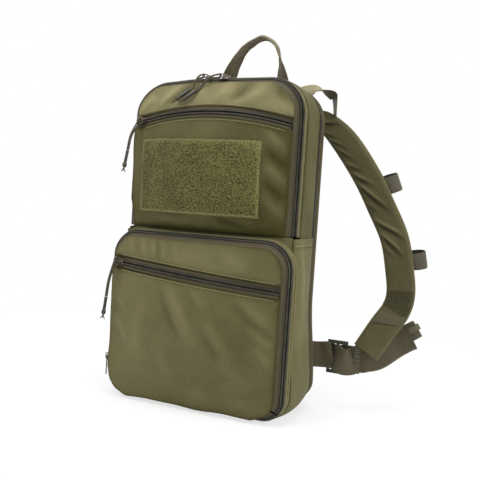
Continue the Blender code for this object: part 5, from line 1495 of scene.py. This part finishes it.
STRAP_TAPE = ((0.070, 0.066, 0.026), (0.140, 0.130, 0.056))
PATCH_COLOUR = ((0.030, 0.027, 0.012), (0.095, 0.084, 0.040))
strap_finishes = [
    woven_finish("strap_nylon", *STRAP_COLOUR, weave=0.0007, grain=0.35, sheen=0.10),
    woven_finish("strap_binding", *STRAP_TAPE, weave=0.0006, grain=0.4, sheen=0.1),
    web_thread,
    webbing_finish("strap_patch", *PATCH_COLOUR, rib=0.0016),
]
STRAP_PATHS = {}


def wrinkles(walked, across, length):
    """Long slanting gathers: a thin ridge and a broad hollow below it, fading from the inner edge out."""
    dice = np.random.default_rng(GATHER_SEED)
    starts = np.cumsum(dice.uniform(*GATHER_GAPS, int(length / GATHER_GAPS[0]))) - 0.030
    ridge = np.zeros(np.broadcast_shapes(walked.shape, across.shape))
    for start in starts[starts < 0.64 * length]:
        slant = dice.uniform(1.0, 1.9)
        reach = dice.uniform(0.35, 1.0)
        bowed = slant * STRAP_WIDTH * ((across + 1.0) / 2.0) ** 0.85
        off = (walked - start - bowed) / math.hypot(1.0, slant)
        thin = bell(off, np.where(off < 0.0, 0.0026, 0.0013))
        hollow = bell(off - 0.0046, 0.0034)
        ridge += (thin - 0.80 * hollow) * ramp(reach * 2.0 - 1.0 - across, 0.8)
    return ridge * ramp(walked, 0.03)


def strap_swell(share):
    """Half the strap's thickness at a share of its half width: flat, and rounded off at both edges."""
    return 0.5 * STRAP_THICK * (1.0 - np.abs(share) ** 6) ** 0.5 * STRAP_EDGE[0] + STRAP_EDGE[1]


for label, (side, flare) in STRAP_FLARES.items():
    end_x = BODY_HALF + STRAP_END_SHARE * flare
    stops = [(STRAP_HEAD_X + reach, STRAP_LINE_Y, STRAP_HEAD_Z) for reach in (0.0, STRAP_HEAD_LENGTH)]
    for out, stand, height, _ in STRAP_STOPS:
        stop_y = STRAP_LINE_Y + STRAP_STAND * stand
        stops.append((BODY_HALF + flare * out, stop_y, WEB_HEIGHT + STRAP_RISE * height))
    stops.append((end_x - STRAP_END_X, STRAP_END_Y, STRAP_END_Z))
    stops = np.array(stops) * [side, 1.0, 1.0]
    STRAP_PATHS[label] = (stops, end_x)
    widths = [STRAP_NECK] * 2 + [width for _, _, _, width in STRAP_STOPS] + [STRAP_FOOT]
    line = Ribbon(stops, BACKWARD, widths, 0.0016)
    line.place = line.place + line.across * (line.half * STRAP_DRAWN_IN * side)
    line.half = line.half * (1.0 - STRAP_DRAWN_IN)
    length = line.walked[-1, 0]
    walked = line.walked / length
    face = np.linspace(-1.0, 1.0, 31)
    across = np.concatenate([face, face[::-1], face[:1]])
    swell = strap_swell(face)
    lift = np.concatenate([swell, -swell[::-1], swell[:1]])
    cuff = ramp(walked - CUFF_START, 0.02)
    gather = wrinkles(line.walked, -across * side, length) * (1.0 - np.abs(across) ** 4) * (1.0 - cuff)
    groove = ramp(walked - CUFF_GROOVE[0], 0.006) * ramp(CUFF_GROOVE[1] - walked, 0.006)
    strap_lift = lift + np.sign(lift) * (GATHER_HEIGHT * gather - 0.0005 * groove)
    strap = Skin()
    # Painted shading: light on each gather's ridge, shade in its hollow and in the cuff's groove, and the
    # whole strap a little darker.
    strap.tube(*line.rings(across, strap_lift), 0.46 * gather - 0.20 - 0.20 * groove + 0.02 * cuff)
    for edge in (-1.0, 1.0):
        edge_line = line.row(BINDING_SHARE * edge, 0.0)
        strap.tube(*round_tube(edge_line[::2], BINDING_RADIUS, BACKWARD, 10), tint=1)
        for way in (-1.0, 1.0):
            seam = line.row(SEAM_SHARE * edge, (strap_swell(SEAM_SHARE) + 0.0001) * way)
            stitches(strap, seam, line.out * way, tint=2)
    patch_walk = np.linspace(*PATCH_RUN, 24) * length
    patch_walk, patch_across = np.meshgrid(patch_walk, np.linspace(-0.93, 0.93, 25), indexing="ij")
    patch_walk = patch_walk + patch_across * side * np.linspace(*PATCH_SLANT, 24)[:, None]
    patch_map = places(patch_across * STRAP_WIDTH / 2.0, patch_walk)
    patch_base = strap_swell(patch_across)
    for way in (-1.0, 1.0):
        top_rows = line.spots(patch_walk, patch_across, way * (patch_base + 0.0011))
        under_rows = line.spots(patch_walk, patch_across, way * (patch_base - 0.0006))
        strap.shell(top_rows, under_rows, patch_map, 0.1, tint=3)
        stitches(strap, top_rows[-3, 2:-2], line.out[-1] * way, pitch=0.0022, tint=2)
    node = f"shoulder_strap_{label}"
    strap_piece = strap.make(f"strap_{label}", strap_finishes, "pack", [node])

# Yoke bands: flat cloth bands, doubled and sewn, that fold over from the back's top to each strap's head.
# Each stop is given in widths of the band: outward, backward and up from the body's top corner, and its look.
YOKE_WIDTH = 0.028
YOKE_THICK = WEB_THICK * 1.3
YOKE_STOPS = (
    (-2.286, 0.000, -0.839, (0.0, -1.0, 0.0)), (-1.571, 0.125, -0.330, (0.0, -0.95, 0.3)),
    (-0.857, 0.400, 0.110, (0.0, -0.60, 0.80)), (-0.250, 0.560, -0.060, (0.22, 0.14, 0.94)),
    (0.130, 0.680, -0.230, (0.55, 0.50, 0.62)), (0.230, 0.740, -0.430, (0.90, 0.45, 0.12)),
    (0.260, 0.893, -1.330, (1.0, 0.38, 0.0)),
)
YOKE_CORNER = np.array([BODY_HALF, BACK_FACE_Y + WEB_THICK / 2.0, BODY_TOP])
YOKE_COLOUR = ((0.040, 0.036, 0.018), (0.262, 0.234, 0.142))
yoke_cloth = woven_finish("yoke_nylon", *YOKE_COLOUR, weave=0.0008, grain=0.4)
for label, (side, _) in STRAP_FLARES.items():
    stops = (YOKE_CORNER + YOKE_WIDTH * np.array([stop[:3] for stop in YOKE_STOPS])) * [side, 1.0, 1.0]
    looks = np.array([stop[3] for stop in YOKE_STOPS]) * [side, 1.0, 1.0]
    line = Ribbon(stops, looks, YOKE_WIDTH, 0.002)
    across, lift = flat_section(17, YOKE_THICK)
    turned = ramp(line.walked / line.walked[-1] - 0.45, 0.12)
    yoke = Skin()
    # The band gets a paler share all over, and painted shade on the underside of its turned-over end.
    yoke.tube(*line.rings(across, lift), 0.22 - 0.70 * turned * (lift < 0.0))
    for edge in (-0.84, 0.84):
        stitches(yoke, line.row(edge, YOKE_THICK / 2.0), line.out)
    yoke.make(f"yoke_{label}", [yoke_cloth, olive_thread], "pack", [f"yoke_band_{label}"])

# Webbing loops: short tubes of flat webbing, sewn to the outer face of each strap for clipping things on.
# Each one stands between two stops of the strap's path, and can be slipped along it.
LOOP_WIDTH = 0.026
LOOP_BAND = 0.0013
LOOP_REACH = (0.0135, 0.0078)
LOOP_STAND = STRAP_THICK / 2.0 + 0.0055 + LOOP_BAND / 2.0 + 2.0 * GAP
LOOP_OUT = STRAP_WIDTH / 2.0 + 0.002
LOOP_TILT = 0.55
LOOP_SPOTS = (("upper", 4, 0.0), ("lower", 6, 0.013))
LOOP_COLOUR = ((0.036, 0.031, 0.019), (0.135, 0.118, 0.078))
loop_webbing = webbing_finish("loop_webbing", *LOOP_COLOUR, rib=0.0014)


def hoop(turn, ways, reach):
    """An oval ring in the plane of two ways, and its ways out: the oval's slope, (cos a / p, sin a / q)."""
    circle = (np.cos(turn), np.sin(turn))
    ring = ways[0] * reach[0] * circle[0] + ways[1] * reach[1] * circle[1]
    return ring, unit(ways[0] * circle[0] / reach[0] + ways[1] * circle[1] / reach[1])


def hoop_band(middle, ring, out, wide_way, width, section, around=None):
    """Carries a flat section round a ring, with its width along one way, and gives its cloth map."""
    across, lift = section
    wide = across * width / 2.0
    around = lengths(ring)[:, None] if around is None else around
    rings = middle + ring[:, None] + wide[:, None] * wide_way + out[:, None] * lift[:, None]
    return rings, places(wide, around)


for label, (side, _) in STRAP_FLARES.items():
    for name, stop, slip in LOOP_SPOTS:
        low, high = STRAP_PATHS[label][0][stop:stop + 2]
        along = unit(high - low)
        outward = unit(np.cross(along, BACKWARD) * side)
        middle = (low + high) / 2.0 + outward * LOOP_OUT + BACKWARD * LOOP_STAND + along * slip
        wide_way = np.cross(outward, BACKWARD)
        wide_way = unit(wide_way * np.sign(wide_way[2]) + [0.0, -LOOP_TILT, LOOP_TILT])
        long_way = unit(outward - wide_way * (outward @ wide_way))
        turn = np.linspace(0.0, 2.0 * np.pi, 49)[:, None]
        ways = (long_way, np.cross(wide_way, long_way))
        ring, out = hoop(turn + 0.12 * np.sin(2.0 * turn), ways, LOOP_REACH)
        section = flat_section(13, LOOP_BAND)
        loop = Skin()
        # Painted shade on the inner face of each loop.
        loop.grid(*hoop_band(middle, ring, out, wide_way, LOOP_WIDTH, section), (section[1] < 0.0) * -0.7)
        node = f"strap_loop_{name}_{label}"
        loop.make(f"webbing_loop_{name}_{label}", [loop_webbing], "pack", [node])

# Lower webbing: nylon webbing sewn into the side seam, laced through the ladder lock and on round the strap.
# The lock is moulded plastic, an elastic keeper holds the slack, and the loose end is rolled up in a band.
LOCK_LENGTH = 0.030
LOCK_BAR = 0.0042
LOCK_PLACE = 0.0485
LOCK_INNER = LOCK_LENGTH / 2.0 - LOCK_BAR
LOCK_FRONT_Y = LOCK_LINE_Y - WEB_BEHIND
WEB_STEP = 0.0012
WEB_BENDS = ((-0.816, 0.0, 0.0), (-0.382, 0.0, 0.0), (-0.211, 0.016, 0.05), (0.211, 0.184, 0.19))
WEB_TAILS = ((0.763, -0.118, 0.62), (1.158, 0.0, 0.90), (1.368, 0.0, 1.02))
TAIL_Y = WEB_LINE_Y + 0.0295
SEWN_SLOPE = 0.16
ROLL_REACH = (0.017, 0.006)
ROLL_PLACE = (1.237, 1.132)
ROLL_WAY = (0.82, 0.0, 0.57)
ROLL_WIDTH = 0.026
ROLL_THICK = 0.0011
ROLL_TURNS = 2.6
ROLL_Y = TAIL_Y + WEB_THICK / 2.0 + 0.0004 + ROLL_REACH[1]
HOOP_REACH = (1.03 * ROLL_REACH[0], 1.05 * ROLL_REACH[1])
HOOP_SHIFT = 0.002
KEEPER_WIDTH = 0.009
KEEPER_PLACE = 0.0195
KEEPER_THICK = 0.0013
KEEPER_HALF = np.array([WEB_THICK / 2.0 + 0.0004, WEB_WIDTH / 2.0 + WEB_CLEARANCE]) + KEEPER_THICK / 2.0
ELASTIC_PITCH = 5200.0
ELASTIC_MAP = 0.02
LOWER_COLOUR = ((0.030, 0.025, 0.012), (0.118, 0.100, 0.050))
ACETAL_COLOUR = ((0.020, 0.020, 0.013), (0.046, 0.043, 0.028))
ELASTIC_COLOUR = ((0.070, 0.062, 0.038), (0.125, 0.112, 0.072))
lower_webbing = webbing_finish("lower_webbing", *LOWER_COLOUR, rib=0.0036, ribbing=0.30)
lock_acetal = grained_finish("lock_acetal", *ACETAL_COLOUR, 340.0, 0.32, 0.25)
grey_elastic, elastic_shader, elastic_start = new_finish("grey_elastic", {"Roughness": 0.8})
elastic_wave = (elastic_start.threads()[1] * ELASTIC_PITCH).sine() * 0.5 + 0.5
elastic_wave.tinted(*ELASTIC_COLOUR).feed(elastic_shader, "Base Color")


def web_line(side, stops):
    """A layer of the webbing through stops on the right side, or their mirror images, facing backward."""
    return Ribbon([(side * x, y, WEB_HEIGHT + z) for x, y, z in stops], BACKWARD, WEB_WIDTH, WEB_STEP)


for label, (side, _) in STRAP_FLARES.items():
    end_x = STRAP_PATHS[label][1]
    lock_x = end_x - LOCK_PLACE
    root_x = lock_x - LOCK_LENGTH / 2.0
    stops = [
        (root_x - 0.055, BACK_FACE_Y + WEB_THICK / 2.0, 0.0), (root_x - 0.020, BACK_FACE_Y + 0.00602, 0.0),
        (lock_x - LOCK_INNER, WEB_LINE_Y, 0.0), (lock_x - LOCK_BAR / 2.0, LOCK_FRONT_Y, 0.0),
        (lock_x + LOCK_BAR / 2.0, LOCK_FRONT_Y, 0.0), (lock_x + LOCK_INNER, WEB_LINE_Y, 0.0),
    ]
    for start_y, bends in ((WEB_LINE_Y, WEB_BENDS), (TAIL_Y, WEB_TAILS)):
        for out, behind, up in bends:
            stops.append((end_x + WEB_WIDTH * out, start_y + WEB_WIDTH * behind, WEB_WIDTH * up))
    section = flat_section(21, WEB_THICK)
    webbing = Skin()
    webbing.tube(*web_line(side, stops).rings(*section), np.where(np.abs(section[0]) > 0.9, 0.18, 0.0))
    fold_stops = (
        (end_x - 0.024, WEB_LINE_Y - 0.0022, -0.002),
        (lock_x + LOCK_LENGTH / 2.0 + 0.004, LOCK_FRONT_Y - 0.0035, -0.004),
        (lock_x + LOCK_INNER, LOCK_FRONT_Y - 0.0075, -0.004),
        (lock_x + 0.002, LOCK_FRONT_Y - 0.0065, 0.000),
        (lock_x - 0.0035, LOCK_FRONT_Y - 0.0022, 0.001),
    )
    line = web_line(side, fold_stops)
    to_end = line.walked[-1] - line.walked
    shade = np.exp(-line.walked / 0.004) + np.exp(-to_end / 0.003)
    webbing.tube(*line.rings(*section), 0.10 - 0.45 * shade)
    sewn_stops = (
        (root_x - 0.030, BACK_FACE_Y + 0.0006, 0.0), (root_x - 0.010, LOCK_FRONT_Y - 0.0010, 0.001),
        (root_x + 0.003, LOCK_FRONT_Y - 0.0026, 0.003), (lock_x - 0.0045, LOCK_FRONT_Y - 0.0024, 0.004),
    )
    line = web_line(side, sewn_stops)
    rings, cloth = line.rings(*section)
    rings[..., 0] -= side * SEWN_SLOPE * line.walked / line.walked[-1] * (rings[..., 2] - WEB_HEIGHT)
    webbing.tube(rings, cloth, 0.14)
    webbing.make(f"webbing_{label}", [lower_webbing], "pack", [f"lower_webbing_{label}"])
    recoat(f"ladder_lock_{label}", lock_acetal)

    turn = np.linspace(0.0, 2.0 * np.pi, 65)[:, None]
    circle = places(np.cos(turn), np.sin(turn))
    square = np.sign(circle) * np.abs(circle) ** 0.28
    across, lift = flat_section(9, KEEPER_THICK)
    oval = square * (KEEPER_HALF + lift[:, None])
    wide = across * KEEPER_WIDTH / 2.0
    keeper_middle = np.array([side * (end_x - KEEPER_PLACE), WEB_LINE_Y, WEB_HEIGHT])
    keeper = Skin()
    keeper.grid(keeper_middle + places(wide, oval[..., 0], oval[..., 1]), places(wide, ELASTIC_MAP * turn))
    node = f"web_keeper_{label}"
    keeper.make(f"keeper_elastic_{label}", [grey_elastic], f"keeper_{label}", [node])

    roll_x = side * (end_x + WEB_WIDTH * ROLL_PLACE[0])
    middle = np.array([roll_x, ROLL_Y, WEB_HEIGHT + WEB_WIDTH * ROLL_PLACE[1]])
    slope = np.array(ROLL_WAY) * [side, 1.0, 1.0]
    wide_way = np.cross(slope, BACKWARD)
    turn = np.linspace(0.0, 2.0 * np.pi * ROLL_TURNS, 110)[:, None]
    spiral = hoop(turn, (slope, BACKWARD), ROLL_REACH)[0] * (0.30 + 0.66 * turn / turn[-1])
    out = unit(np.cross(np.gradient(spiral, axis=0), wide_way))
    section = flat_section(9, ROLL_THICK)
    roll = Skin()
    roll.tube(*hoop_band(middle, spiral, out, wide_way, ROLL_WIDTH, section))
    turn = np.linspace(0.0, 2.0 * np.pi, 49)[:, None]
    ring = hoop(turn, (slope, BACKWARD), HOOP_REACH)[0]
    out = hoop(turn, (slope, BACKWARD), ROLL_REACH)[1]
    hoop_middle = middle + wide_way * HOOP_SHIFT
    roll.grid(*hoop_band(hoop_middle, ring, out, wide_way, KEEPER_WIDTH, section, ELASTIC_MAP * turn), tint=1)
    roll.make(f"rolled_end_{label}", [lower_webbing, grey_elastic], "pack", [f"web_roll_{label}"])
